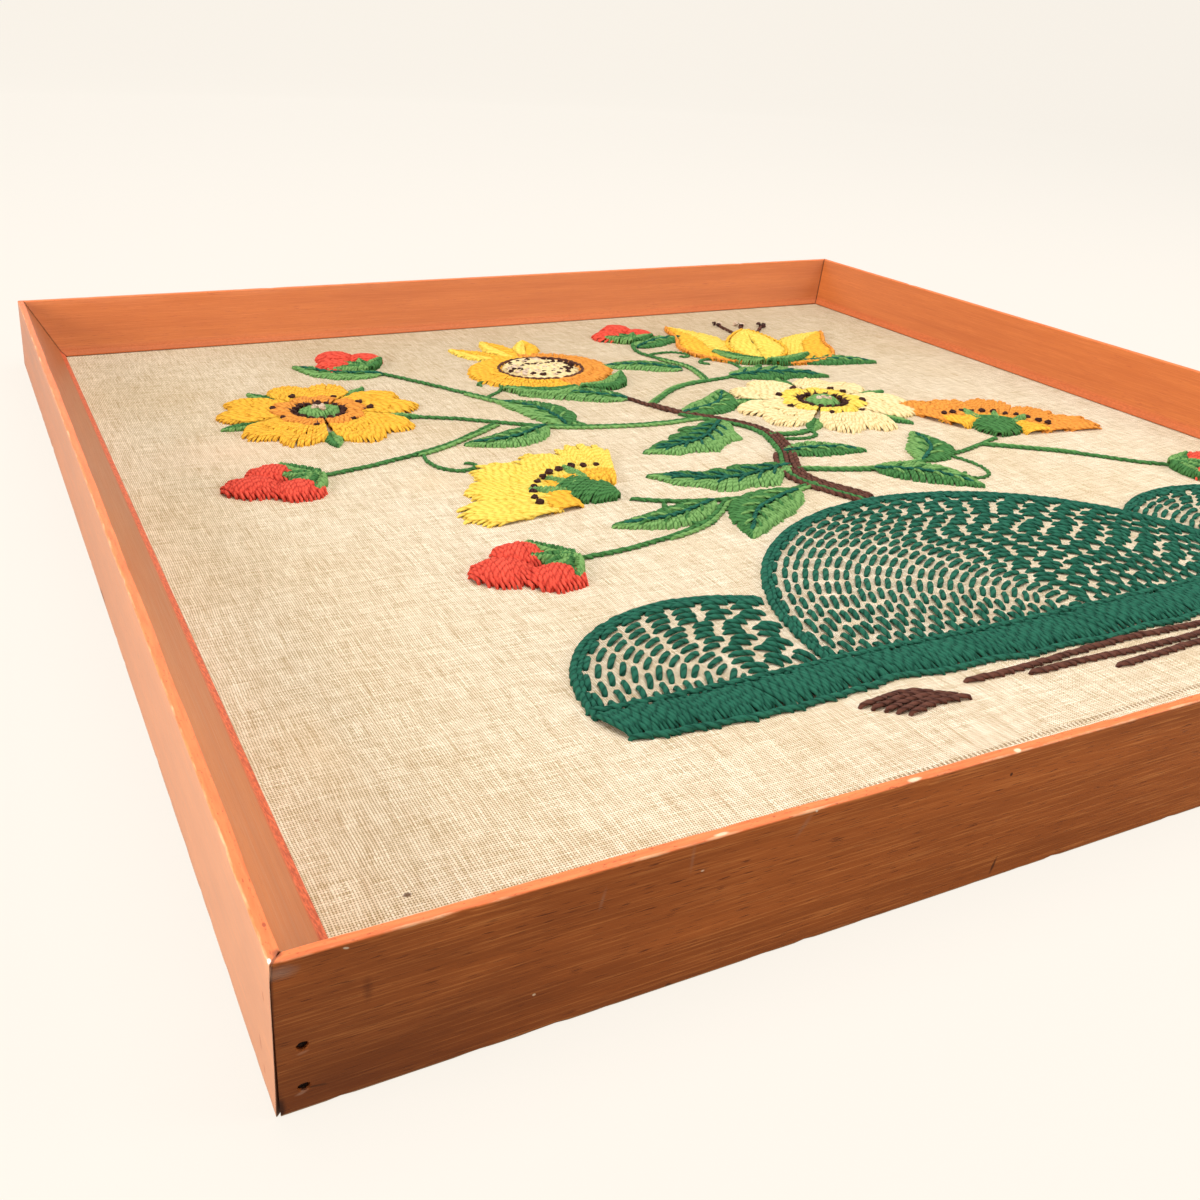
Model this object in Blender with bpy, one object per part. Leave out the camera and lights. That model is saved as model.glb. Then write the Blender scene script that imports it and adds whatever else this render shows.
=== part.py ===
"""Crewel embroidery panel in its wooden frame.

The panel lies on its back with the worked side up: +Z is out of the picture, +Y is up the picture
and the origin is on the back plane, at the middle of the frame. Four lengths of deep wedge-shaped
moulding are mitred and nailed at the corners, and the linen ground is stretched across the rebate
behind their inner lip, so the cloth lies deep in the frame. The wool stitches are not solids here.
"""

import math

import bmesh
import bpy
from mathutils import Matrix, Vector

# The frame, outside
FRAME_WIDTH = 0.610
FRAME_HEIGHT = 0.635
FRAME_DEPTH = 0.040

# The moulding's section: distances in from its outer face, and down from its front edge
FRONT_EDGE = 0.0030
SLOPE_FOOT_INSET = 0.0200
SLOPE_FOOT_DROP = 0.0285
LIP_INSET = 0.0225
LIP_DROP = 0.0308
LIP_THICKNESS = 0.0006
REBATE_INSET = 0.0140

# The linen ground
LINEN_THICKNESS = 0.0015

# The nails, two through each end of the lower and upper rails
NAIL_RADIUS = 0.0009
NAIL_LENGTH = 0.0220
NAIL_SUNK = 0.0009
NAIL_FROM_SIDE = 0.0061
NAIL_DROPS = (0.0231, 0.0340)
NAIL_SIDES = 16

# Clear space between pieces that touch
GAP = 0.0003
# How far a cutter runs past the wood
OVERRUN = 0.0040

REBATE_TOP = FRAME_DEPTH - LIP_DROP - LIP_THICKNESS


def clear_scene():
    for old in list(bpy.data.objects):
        bpy.data.objects.remove(old, do_unlink=True)


def new_collection(name):
    collection = bpy.data.collections.new(name)
    bpy.context.scene.collection.children.link(collection)
    return collection


def new_material(name, colour, roughness, metallic=0.0):
    material = bpy.data.materials.new(name)
    material.use_nodes = True
    shader = material.node_tree.nodes["Principled BSDF"]
    shader.inputs["Base Color"].default_value = (*colour, 1.0)
    shader.inputs["Roughness"].default_value = roughness
    shader.inputs["Metallic"].default_value = metallic
    material.diffuse_color = (*colour, 1.0)
    return material


def add_piece(name, mesh, collection, parent, material=None):
    piece = bpy.data.objects.new(name, mesh)
    collection.objects.link(piece)
    piece.parent = parent
    if material:
        mesh.materials.append(material)
    return piece


def moulding_bar(name, length):
    """A straight bar of the moulding, drawn as a flat outline and given its length by extrusion."""
    outline = (
        (0.0, 0.0),
        (REBATE_INSET, 0.0),
        (REBATE_INSET, REBATE_TOP),
        (LIP_INSET, REBATE_TOP),
        (LIP_INSET, FRAME_DEPTH - LIP_DROP),
        (SLOPE_FOOT_INSET, FRAME_DEPTH - SLOPE_FOOT_DROP),
        (FRONT_EDGE, FRAME_DEPTH),
        (0.0, FRAME_DEPTH),
    )
    curve = bpy.data.curves.new(name + "_section", "CURVE")
    curve.dimensions = "2D"
    curve.fill_mode = "BOTH"
    curve.extrude = length / 2
    spline = curve.splines.new("POLY")
    spline.points.add(len(outline) - 1)
    for point, (inset, height) in zip(spline.points, outline):
        point.co = (inset, height, 0.0, 1.0)
    spline.use_cyclic_u = True

    drawn = bpy.data.objects.new(name + "_section", curve)
    bpy.context.scene.collection.objects.link(drawn)
    bpy.context.view_layer.update()
    evaluated = drawn.evaluated_get(bpy.context.evaluated_depsgraph_get())
    mesh = bpy.data.meshes.new_from_object(evaluated)
    mesh.name = name
    bpy.data.objects.remove(drawn, do_unlink=True)
    # The extrusion's axis becomes the bar's length (X), the inset Y and the height Z.
    mesh.transform(Matrix(((0, 0, 1, 0), (1, 0, 0, 0), (0, 1, 0, 0), (0, 0, 0, 1))))
    return mesh


def saw_mitre(cut, length, end):
    """Saw one end of a bar at 45 degrees, leaving half of the joint's gap."""
    corner = Vector((end * (length / 2 - GAP / 2 * math.sqrt(2)), 0.0, 0.0))
    normal = Vector((end, 1.0, 0.0)).normalized()
    geometry = cut.verts[:] + cut.edges[:] + cut.faces[:]
    bmesh.ops.bisect_plane(
        cut, geom=geometry, dist=1e-7, plane_co=corner, plane_no=normal, clear_outer=True
    )
    open_edges = [edge for edge in cut.edges if edge.is_boundary]
    bmesh.ops.holes_fill(cut, edges=open_edges, sides=0)


def make_rail(name, length, place, turn, collection, parent, material):
    mesh = moulding_bar(name, length)
    cut = bmesh.new()
    cut.from_mesh(mesh)
    bmesh.ops.remove_doubles(cut, verts=cut.verts[:], dist=1e-6)
    for end in (-1, 1):
        saw_mitre(cut, length, end)
    bmesh.ops.recalc_face_normals(cut, faces=cut.faces[:])
    cut.to_mesh(mesh)
    cut.free()
    rail = add_piece(name, mesh, collection, parent, material)
    rail.location = place
    rail.rotation_euler = (0.0, 0.0, math.radians(turn))
    return rail


def rod_mesh(name, radius, length):
    """A round rod along Y, from its outer end at zero inwards."""
    mesh = bpy.data.meshes.new(name)
    shape = bmesh.new()
    bmesh.ops.create_cone(
        shape,
        cap_ends=True,
        segments=NAIL_SIDES,
        radius1=radius,
        radius2=radius,
        depth=length,
        matrix=Matrix.Translation((0.0, length / 2, 0.0)) @ Matrix.Rotation(math.radians(-90), 4, "X"),
    )
    shape.to_mesh(mesh)
    shape.free()
    mesh.shade_smooth()
    mesh.set_sharp_from_angle(angle=math.radians(30))
    return mesh


def make_nails(rails, collection, cutters, parent, material):
    """Two nails in each corner, driven up or down the picture through the rail's end."""
    nail = rod_mesh("nail", NAIL_RADIUS, NAIL_LENGTH)
    nail.materials.append(material)
    hole_length = OVERRUN + NAIL_SUNK + NAIL_LENGTH + GAP
    hole = rod_mesh("nail_hole", NAIL_RADIUS + GAP, hole_length)
    for end_name, end in (("bottom", -1), ("top", 1)):
        for side_name, side in (("left", -1), ("right", 1)):
            for count, drop in enumerate(NAIL_DROPS, start=1):
                name = f"nail_{end_name}_{side_name}_{count}"
                x = side * (FRAME_WIDTH / 2 - NAIL_FROM_SIDE)
                z = FRAME_DEPTH - drop
                turn = 0.0 if end < 0 else math.pi
                piece = add_piece(name, nail, collection, parent)
                piece.location = (x, end * (FRAME_HEIGHT / 2 - NAIL_SUNK), z)
                piece.rotation_euler = (0.0, 0.0, turn)
                cutter = add_piece(name + "_hole", hole, cutters, parent)
                cutter.location = (x, end * (FRAME_HEIGHT / 2 + OVERRUN), z)
                cutter.rotation_euler = (0.0, 0.0, turn)
                cutter.hide_render = True
                cutter.display_type = "WIRE"
                for rail_name in (f"{end_name}_rail", f"{side_name}_rail"):
                    bore = rails[rail_name].modifiers.new(cutter.name, "BOOLEAN")
                    bore.operation = "DIFFERENCE"
                    bore.solver = "EXACT"
                    bore.object = cutter


def make_linen(collection, parent, material):
    """The ground cloth: one flat stretched sheet that fills the rebate."""
    mesh = bpy.data.meshes.new("linen")
    sheet = bmesh.new()
    edge = REBATE_INSET + GAP
    size = (FRAME_WIDTH - 2 * edge, FRAME_HEIGHT - 2 * edge, LINEN_THICKNESS)
    bmesh.ops.create_cube(sheet, size=1.0, matrix=Matrix.Diagonal((*size, 1.0)))
    sheet.to_mesh(mesh)
    sheet.free()
    linen = add_piece("linen", mesh, collection, parent, material)
    linen.location = (0.0, 0.0, REBATE_TOP - GAP - LINEN_THICKNESS / 2)
    return linen


def build_panel():
    clear_scene()
    pieces = new_collection("crewel_panel")
    cutters = new_collection("crewel_panel_cutters")
    panel = bpy.data.objects.new("crewel_panel", None)
    pieces.objects.link(panel)

    wood = new_material("frame_wood", (0.66, 0.30, 0.14), 0.45)
    steel = new_material("nail_steel", (0.10, 0.07, 0.05), 0.60, 0.6)
    cloth = new_material("linen_cloth", (0.80, 0.66, 0.46), 0.95)

    half_width = FRAME_WIDTH / 2
    half_height = FRAME_HEIGHT / 2
    rails = {}
    for name, length, place, turn in (
        ("bottom_rail", FRAME_WIDTH, (0.0, -half_height, 0.0), 0),
        ("right_rail", FRAME_HEIGHT, (half_width, 0.0, 0.0), 90),
        ("top_rail", FRAME_WIDTH, (0.0, half_height, 0.0), 180),
        ("left_rail", FRAME_HEIGHT, (-half_width, 0.0, 0.0), -90),
    ):
        rails[name] = make_rail(name, length, place, turn, pieces, panel, wood)
    make_nails(rails, pieces, cutters, panel, steel)
    make_linen(pieces, panel, cloth)


build_panel()
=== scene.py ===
import math

import bmesh
import bpy
import numpy as np
from mathutils import Matrix, Vector, noise


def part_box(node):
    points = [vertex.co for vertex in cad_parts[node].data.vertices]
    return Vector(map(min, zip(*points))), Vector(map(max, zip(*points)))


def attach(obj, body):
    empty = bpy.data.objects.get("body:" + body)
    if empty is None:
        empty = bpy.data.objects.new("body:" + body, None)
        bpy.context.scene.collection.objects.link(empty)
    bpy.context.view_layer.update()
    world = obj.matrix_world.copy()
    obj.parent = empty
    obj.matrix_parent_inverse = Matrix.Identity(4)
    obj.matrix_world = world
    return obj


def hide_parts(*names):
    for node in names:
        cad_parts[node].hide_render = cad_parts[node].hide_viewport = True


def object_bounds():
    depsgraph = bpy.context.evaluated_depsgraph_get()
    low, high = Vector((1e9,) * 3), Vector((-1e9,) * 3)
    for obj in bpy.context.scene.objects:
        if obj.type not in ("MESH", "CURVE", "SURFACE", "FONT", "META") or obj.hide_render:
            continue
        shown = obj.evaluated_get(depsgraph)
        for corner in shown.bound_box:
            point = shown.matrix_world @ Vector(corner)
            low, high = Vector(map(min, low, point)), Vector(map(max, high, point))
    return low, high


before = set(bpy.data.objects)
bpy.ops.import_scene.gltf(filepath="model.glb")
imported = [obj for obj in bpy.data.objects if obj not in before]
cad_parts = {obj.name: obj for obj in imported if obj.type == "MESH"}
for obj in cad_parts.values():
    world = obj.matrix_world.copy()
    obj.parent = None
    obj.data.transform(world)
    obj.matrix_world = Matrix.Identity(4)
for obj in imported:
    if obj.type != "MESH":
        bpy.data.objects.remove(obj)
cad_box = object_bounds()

# ---------------------------------------------------------------------------------------------
# Camera: it stands low outside the near left corner and looks along the panel, with the view
# rolled a little, so that the lower rail is close and the upper rail far.
cad_low, cad_high = cad_box
near_left_corner = Vector((cad_low.x, cad_low.y, cad_high.z))
camera_from_corner = Vector((-0.0428, -0.2086, 0.1804))
camera_bearing = math.radians(27.8)
camera_dip = math.radians(20.05)
camera_roll = math.radians(2.7)

camera_data = bpy.data.cameras.new("camera")
camera_data.lens = 38.3
camera_data.sensor_width = 36.0
camera_data.shift_x = 0.008
camera_data.shift_y = -0.100
camera_data.clip_start = 0.01
camera = bpy.data.objects.new("camera", camera_data)
bpy.context.scene.collection.objects.link(camera)
aim = Matrix.Rotation(-camera_bearing, 4, "Z") @ Matrix.Rotation(math.pi / 2 - camera_dip, 4, "X")
camera.matrix_world = (
    Matrix.Translation(near_left_corner + camera_from_corner)
    @ aim
    @ Matrix.Rotation(camera_roll, 4, "Z")
)
bpy.context.scene.camera = camera


# ---------------------------------------------------------------------------------------------
# Studio: a cream floor that turns up into walls all round, like a wide shallow bowl, under one
# large soft light from above, with weaker ones from the left and from the front right.
def add_node(tree, kind, inputs=None, **settings):
    """Add a shader node; an input is given another node's output, or a plain value."""
    made = tree.nodes.new(kind)
    for key, value in settings.items():
        setattr(made, key, value)
    for key, value in (inputs or {}).items():
        if isinstance(value, bpy.types.NodeSocket):
            tree.links.new(value, made.inputs[key])
        else:
            made.inputs[key].default_value = value
    return made


def new_material(name, roughness, **plain):
    """A material with a Principled shader; plain gives more of its sockets constant values."""
    material = bpy.data.materials.new(name)
    material.use_nodes = True
    shader = material.node_tree.nodes["Principled BSDF"]
    shader.inputs["Roughness"].default_value = roughness
    for socket, value in plain.items():
        shader.inputs[socket.replace("_", " ")].default_value = value
    return material, material.node_tree, shader


floor_radius = 2.6
wall_turn = 0.8
wall_height = 1.5
floor_colour = (0.085, 0.076, 0.066, 1.0)
cream_glow = (1.0, 0.947, 0.866, 1.0)
glow_seen = 0.885
glow_far_left = 1.0
glow_near = 0.06

floor_mesh = bpy.data.meshes.new("studio_floor")
floor_shape = bmesh.new()
profile = [Vector((0.0, 0.0, 0.0)), Vector((floor_radius, 0.0, 0.0))]
for step in range(1, 13):
    turned = math.radians(90 * step / 12)
    profile.append(
        Vector((floor_radius + wall_turn * math.sin(turned), 0.0, wall_turn * (1 - math.cos(turned))))
    )
profile.append(profile[-1] + Vector((0.0, 0.0, wall_height)))
edge_verts = [floor_shape.verts.new(point) for point in profile]
edge_lines = [floor_shape.edges.new(pair) for pair in zip(edge_verts, edge_verts[1:])]
bmesh.ops.spin(
    floor_shape, geom=edge_verts + edge_lines, cent=(0, 0, 0), axis=(0, 0, 1), angle=math.tau, steps=96
)
bmesh.ops.remove_doubles(floor_shape, verts=floor_shape.verts[:], dist=0.0001)
bmesh.ops.recalc_face_normals(floor_shape, faces=floor_shape.faces[:])
floor_shape.to_mesh(floor_mesh)
floor_shape.free()
floor_mesh.shade_smooth()
floor = bpy.data.objects.new("studio_floor", floor_mesh)
floor.location.z = -0.0002
bpy.context.scene.collection.objects.link(floor)

# The backdrop is lit from behind, evenly where it is seen; its light on the object comes mostly
# from the far left, as from a tall window there, so that the near side stays in soft shade.
floor_material, floor_tree, floor_shader = new_material("studio_cream", 0.9, Specular_IOR_Level=0.1)
floor_shader.inputs["Base Color"].default_value = floor_colour
floor_shader.inputs["Emission Color"].default_value = cream_glow
floor_place = add_node(floor_tree, "ShaderNodeTexCoord").outputs["Object"]
to_far_left = add_node(
    floor_tree, "ShaderNodeVectorMath", {0: floor_place, 1: (-0.60, 0.80, 0.0)}, operation="DOT_PRODUCT"
).outputs["Value"]
cast = add_node(
    floor_tree,
    "ShaderNodeMapRange",
    {"Value": to_far_left, "From Min": -0.2, "From Max": 1.2, "To Min": glow_near, "To Max": glow_far_left},
).outputs["Result"]
seen = add_node(floor_tree, "ShaderNodeLightPath").outputs["Is Camera Ray"]
glow = add_node(floor_tree, "ShaderNodeMix", {0: seen, 2: cast, 3: glow_seen}, data_type="FLOAT")
floor_tree.links.new(glow.outputs[0], floor_shader.inputs["Emission Strength"])
floor_mesh.materials.append(floor_material)

for light_name, place, size, power, tint in (
    ("light_overhead", (0.15, 0.0, 1.7), 1.8, 31.5, (1.0, 0.98, 0.955)),
    ("light_left", (-1.5, -0.38, 0.34), 0.8, 21.0, (1.0, 0.93, 0.87)),
    ("light_front_right", (0.95, -0.80, 0.40), 0.6, 11.5, (1.0, 0.96, 0.86)),
):
    lamp_data = bpy.data.lights.new(light_name, "AREA")
    lamp_data.size = size
    lamp_data.energy = power
    lamp_data.color = tint
    lamp = bpy.data.objects.new(light_name, lamp_data)
    lamp.location = place
    lamp.rotation_euler = (-Vector(place)).to_track_quat("-Z", "Y").to_euler()
    bpy.context.scene.collection.objects.link(lamp)

world = bpy.data.worlds.new("studio_air")
world.use_nodes = True
world.node_tree.nodes["Background"].inputs["Color"].default_value = (1.0, 0.95, 0.88, 1.0)
world.node_tree.nodes["Background"].inputs["Strength"].default_value = 0.25
bpy.context.scene.world = world
bpy.context.scene.view_settings.view_transform = "Standard"


# ---------------------------------------------------------------------------------------------
# Frame rails: four lengths of deep wedge-shaped hardwood moulding, stained red-brown and waxed.
# Each is sawn at 45 degrees at both ends; years of handling have worn and chipped its arrises.
pieces = []


def new_piece(name, mesh, replaced=()):
    """Put a piece of the object in the scene: it rides with the frame and may stand for nodes."""
    piece = bpy.data.objects.new(name, mesh)
    bpy.context.scene.collection.objects.link(piece)
    if replaced:
        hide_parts(*replaced)
    pieces.append(piece)
    return piece


def maths(tree, operation, first, second=0.0, third=0.0):
    made = add_node(tree, "ShaderNodeMath", {0: first, 1: second, 2: third}, operation=operation)
    return made.outputs[0]


def remap(tree, value, low, high, to_low=0.0, to_high=1.0):
    """value, as it goes from low to high, becomes to_low to to_high, and stops there."""
    ends = {"Value": value, "From Min": low, "From Max": high, "To Min": to_low, "To Max": to_high}
    return add_node(tree, "ShaderNodeMapRange", ends).outputs["Result"]


def mix_colours(tree, factor, first, second, way="MIX"):
    made = add_node(tree, "ShaderNodeMix", data_type="RGBA", blend_type=way)
    for key, value in ((0, factor), (6, first), (7, second)):
        if isinstance(value, bpy.types.NodeSocket):
            tree.links.new(value, made.inputs[key])
        else:
            made.inputs[key].default_value = value
    return made.outputs[2]


def uneven(tree, vector, scales, detail=3.0, roughness=0.55):
    """Noise stretched along the axes: scales are its changes per metre along X, Y and Z."""
    stretched = add_node(tree, "ShaderNodeVectorMath", {0: vector, 1: scales}, operation="MULTIPLY")
    settings = {"Vector": stretched.outputs[0], "Scale": 1.0, "Detail": detail, "Roughness": roughness}
    return add_node(tree, "ShaderNodeTexNoise", settings).outputs["Fac"]


def new_group(name, inputs, outputs):
    """A shader node group: inputs are (name, kind, default), outputs are (name, kind)."""
    group = bpy.data.node_groups.new(name, "ShaderNodeTree")
    kinds = {"colour": "NodeSocketColor", "value": "NodeSocketFloat", "vector": "NodeSocketVector"}
    for label, kind, default in inputs:
        socket = group.interface.new_socket(label, in_out="INPUT", socket_type=kinds[kind])
        if default is not None:
            socket.default_value = default
    for label, kind in outputs:
        group.interface.new_socket(label, in_out="OUTPUT", socket_type=kinds[kind])
    entry = group.nodes.new("NodeGroupInput")
    leave = group.nodes.new("NodeGroupOutput")
    return group, entry.outputs, leave.inputs


def use_group(tree, group, values):
    made = add_node(tree, "ShaderNodeGroup", node_tree=group)
    for key, value in values.items():
        if isinstance(value, bpy.types.NodeSocket):
            tree.links.new(value, made.inputs[key])
        else:
            made.inputs[key].default_value = value
    return made.outputs


def grain_group():
    """Long straight grain along X: broad bands, fine pale streaks and short dark pores."""
    group, given, out = new_group(
        "wood_grain",
        (
            ("Vector", "vector", None),
            ("Light", "colour", (0.6, 0.2, 0.08, 1)),
            ("Dark", "colour", (0.3, 0.08, 0.03, 1)),
            ("Streak", "colour", (0.7, 0.3, 0.12, 1)),
            ("Streaks", "value", 0.5),
            ("Pore", "colour", (0.08, 0.02, 0.01, 1)),
            ("Pore depth", "value", 0.5),
        ),
        (("Color", "colour"), ("Height", "value"), ("Roughness", "value")),
    )
    vector = given["Vector"]
    band = uneven(group, vector, (4.0, 130.0, 130.0), 4.0, 0.6)
    fine = uneven(group, vector, (34.0, 1900.0, 1900.0), 3.0, 0.65)
    fleck = uneven(group, vector, (150.0, 2900.0, 2900.0), 1.0, 0.5)
    cloud = uneven(group, vector, (9.0, 26.0, 26.0), 2.0, 0.5)
    tone = maths(group, "MULTIPLY_ADD", band, 0.60, maths(group, "MULTIPLY", fine, 0.30))
    tone = maths(group, "MULTIPLY_ADD", cloud, 0.30, tone)
    body = mix_colours(group, remap(group, tone, 0.40, 0.82), given["Dark"], given["Light"])
    streak = maths(group, "MULTIPLY", remap(group, fine, 0.52, 0.72), given["Streaks"])
    body = mix_colours(group, streak, body, given["Streak"])
    pore = maths(
        group, "MULTIPLY", remap(group, fleck, 0.62, 0.72), remap(group, band, 0.40, 0.62, 0.25, 1.0)
    )
    marked = maths(group, "MULTIPLY", pore, given["Pore depth"])
    group.links.new(mix_colours(group, marked, body, given["Pore"]), out["Color"])
    height = maths(
        group, "SUBTRACT", maths(group, "MULTIPLY", fine, 0.5), maths(group, "MULTIPLY", marked, 0.9)
    )
    group.links.new(height, out["Height"])
    group.links.new(remap(group, fine, 0.3, 0.7, 0.32, 0.50), out["Roughness"])
    return group


def arris_group():
    """Where a long edge of the moulding is rubbed: near the given inset and height, in patches."""
    group, given, out = new_group(
        "arris_wear",
        (
            ("Vector", "vector", None),
            ("Inset", "value", 0.0),
            ("Height", "value", 0.04),
            ("Width", "value", 0.0006),
            ("Amount", "value", 0.5),
        ),
        (("Mask", "value"),),
    )
    apart = add_node(group, "ShaderNodeSeparateXYZ", {0: given["Vector"]}).outputs
    across = maths(group, "SUBTRACT", apart["Y"], given["Inset"])
    above = maths(group, "SUBTRACT", apart["Z"], given["Height"])
    squares = maths(group, "MULTIPLY_ADD", across, across, maths(group, "MULTIPLY", above, above))
    away = maths(group, "SQRT", squares)
    patch = uneven(group, given["Vector"], (60.0, 260.0, 260.0), 4.0, 0.65)
    reach = maths(group, "MULTIPLY", given["Width"], remap(group, patch, 0.25, 0.75, 0.3, 1.7))
    near = remap(group, maths(group, "DIVIDE", away, reach), 0.6, 1.0, 1.0, 0.0)
    kept = remap(group, maths(group, "ADD", patch, given["Amount"]), 0.95, 1.1)
    group.links.new(maths(group, "MULTIPLY", near, kept), out["Mask"])
    return group


def spot_group():
    """A ragged mark about a centre: a stain, chip or scratch. Size is its half lengths; Turn leans it."""
    group, given, out = new_group(
        "ragged_spot",
        (
            ("Vector", "vector", None),
            ("Centre", "vector", (0, 0, 0)),
            ("Size", "vector", (0.003, 0.003, 0.003)),
            ("Turn", "value", 0.0),
            ("Edge", "value", 0.3),
            ("Raggedness", "value", 0.8),
        ),
        (("Mask", "value"),),
    )
    leaning = add_node(group, "ShaderNodeCombineXYZ", {"Y": given["Turn"]}).outputs[0]
    local = add_node(
        group,
        "ShaderNodeMapping",
        {
            "Vector": given["Vector"],
            "Location": given["Centre"],
            "Rotation": leaning,
            "Scale": given["Size"],
        },
        vector_type="TEXTURE",
    ).outputs[0]
    away = add_node(group, "ShaderNodeVectorMath", {0: local}, operation="LENGTH").outputs["Value"]
    ragged = uneven(group, given["Vector"], (420.0, 420.0, 420.0), 3.0, 0.6)
    reach = maths(group, "MULTIPLY_ADD", maths(group, "SUBTRACT", ragged, 0.5), given["Raggedness"], 1.0)
    inner = maths(group, "SUBTRACT", 1.0, given["Edge"])
    group.links.new(remap(group, maths(group, "DIVIDE", away, reach), inner, 1.0, 1.0, 0.0), out["Mask"])
    return group


wood_grain = grain_group()
arris_wear = arris_group()
ragged_spot = spot_group()

rail_depth = cad_high.z
front_edge = 0.0030
slope_foot = (0.0200, rail_depth - 0.0285)
lip = (0.0225, rail_depth - 0.0308)
rebate = (0.0140, rail_depth - 0.0314)
mitre_gap = 0.00021
station_spacing = 0.0032

# Each corner of the section: inset from the outer face, height from the back, rounding radius
section_corners = (
    (0.0, 0.0, 0.0006),
    (rebate[0], 0.0, 0.0004),
    (rebate[0], rebate[1], 0.0),
    (lip[0], rebate[1], 0.0001),
    (lip[0], lip[1], 0.0004),
    (slope_foot[0], slope_foot[1], 0.0030),
    (front_edge, rail_depth, 0.0005),
    (0.0, rail_depth, 0.0007),
)


def rounded_section(corners, longest=0.0042):
    """The moulding's outline with its corners rounded and its long faces divided."""
    points = []
    total = len(corners)
    for index, (inset, height, radius) in enumerate(corners):
        here = Vector((inset, height))
        before = Vector(corners[index - 1][:2])
        after = Vector(corners[(index + 1) % total][:2])
        if radius == 0.0:
            points.append(here)
            continue
        back = (before - here).normalized()
        ahead = (after - here).normalized()
        half = back.angle(ahead) / 2
        reach = min(radius / math.tan(half), (before - here).length * 0.4, (after - here).length * 0.4)
        start = here + back * reach
        end = here + ahead * reach
        for step in range(5):
            share = step / 4
            points.append((start.lerp(here, share)).lerp(here.lerp(end, share), share))
    divided = []
    for index, point in enumerate(points):
        following = points[(index + 1) % len(points)]
        parts = max(1, math.ceil((following - point).length / longest))
        divided += [point.lerp(following, part / parts) for part in range(parts)]
    return divided


def rail_mesh(name, length, seed, chips, open_joint):
    """A bar of moulding along X, its outer face at Y = 0.

    chips are (place, reach, depth) on its outer front arris; open_joint is the end, -1 or 1, at
    which the mitre has opened towards the back, or 0.
    """
    outline = rounded_section(section_corners)
    count = len(outline)
    stations = int(length / station_spacing)
    shape = bmesh.new()
    rings = []
    for station in range(stations + 1):
        share = 2 * station / stations - 1
        ring = []
        for point in outline:
            inset, height = point
            gap = mitre_gap
            if open_joint * share > 0:
                gap += joint_opening * (1 - height / rail_depth) ** 1.4 * max(0.0, 1 - inset / 0.010)
            x = share * (length / 2 - inset - gap)
            wander = noise.noise(Vector((x * 22, seed, 0.0)))
            nick = noise.noise(Vector((x * 150, seed, 5.0)))
            inner_arris = max(0.0, 1 - (point - Vector((front_edge, rail_depth))).length / 0.004)
            outer_arris = max(0.0, 1 - (point - Vector((0.0, rail_depth))).length / 0.0022)
            back_arris = max(0.0, 1 - point.length / 0.0022)
            inset += inner_arris * (0.00050 * wander + 0.00015 * nick)
            height -= inner_arris * 0.00025 * abs(nick)
            bite = outer_arris * 0.00022 * max(0.0, nick - 0.25)
            for place, reach, depth in chips:
                near = max(0.0, 1 - ((x - place) / reach) ** 2)
                bite += outer_arris * depth * near * near
            inset += bite * 0.8 + back_arris * 0.0006 * max(0.0, nick - 0.2)
            height += back_arris * 0.0009 * max(0.0, nick - 0.2) - bite * 0.5
            if 0.002 < height < rail_depth - 0.002 and point.x < 0.0001:
                inset += 0.00010 * (1 + noise.noise(Vector((x * 14, height * 60, seed + 9))))
            ring.append(shape.verts.new((x, inset, height)))
        rings.append(ring)
    for ring, following in zip(rings, rings[1:]):
        for index in range(count):
            ahead = (index + 1) % count
            shape.faces.new((ring[index], ring[ahead], following[ahead], following[index]))
    shape.faces.new(reversed(rings[0]))
    shape.faces.new(rings[-1])
    bmesh.ops.recalc_face_normals(shape, faces=shape.faces[:])
    mesh = bpy.data.meshes.new(name)
    shape.to_mesh(mesh)
    shape.free()
    return mesh


def bore_for_nails(rail, side_name):
    """Bore the placed rail for the nails at its ends; a hole is oval and ragged where it shows."""
    holes = bmesh.new()
    for node_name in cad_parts:
        if not (node_name.startswith("nail_") and side_name in node_name):
            continue
        low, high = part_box(node_name)
        middle = (low + high) / 2
        outward = math.copysign(1.0, middle.y)
        length = high.y - low.y + 0.0006
        radius = (high.x - low.x) / 2 + 0.00030
        drilled = bmesh.ops.create_cone(
            holes,
            cap_ends=True,
            segments=20,
            radius1=radius,
            radius2=radius,
            depth=length + hole_overrun,
            matrix=Matrix.Rotation(math.radians(-90), 4, "X"),
        )["verts"]
        for vert in drilled:
            if vert.co.y * outward > 0:
                ragged = 1 + 0.16 * noise.noise(vert.co * 900 + middle * 300)
                vert.co.x *= 1.28 * ragged
                vert.co.z *= 0.95 * ragged
            vert.co += middle + Vector((0.0, outward * hole_overrun / 2, 0.0))
    cutter_mesh = bpy.data.meshes.new("nail_holes")
    holes.to_mesh(cutter_mesh)
    holes.free()
    cutter = bpy.data.objects.new("nail_holes", cutter_mesh)
    bpy.context.scene.collection.objects.link(cutter)
    bore = rail.modifiers.new("nail_holes", "BOOLEAN")
    bore.operation = "DIFFERENCE"
    bore.solver = "EXACT"
    bore.object = cutter
    bpy.context.view_layer.update()
    rail.data = bpy.data.meshes.new_from_object(rail.evaluated_get(bpy.context.evaluated_depsgraph_get()))
    rail.modifiers.clear()
    bpy.data.objects.remove(cutter, do_unlink=True)


def mix_values(tree, factor, first, second):
    made = add_node(tree, "ShaderNodeMix", data_type="FLOAT")
    for key, value in ((0, factor), (2, first), (3, second)):
        if isinstance(value, bpy.types.NodeSocket):
            tree.links.new(value, made.inputs[key])
        else:
            made.inputs[key].default_value = value
    return made.outputs[0]


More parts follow.
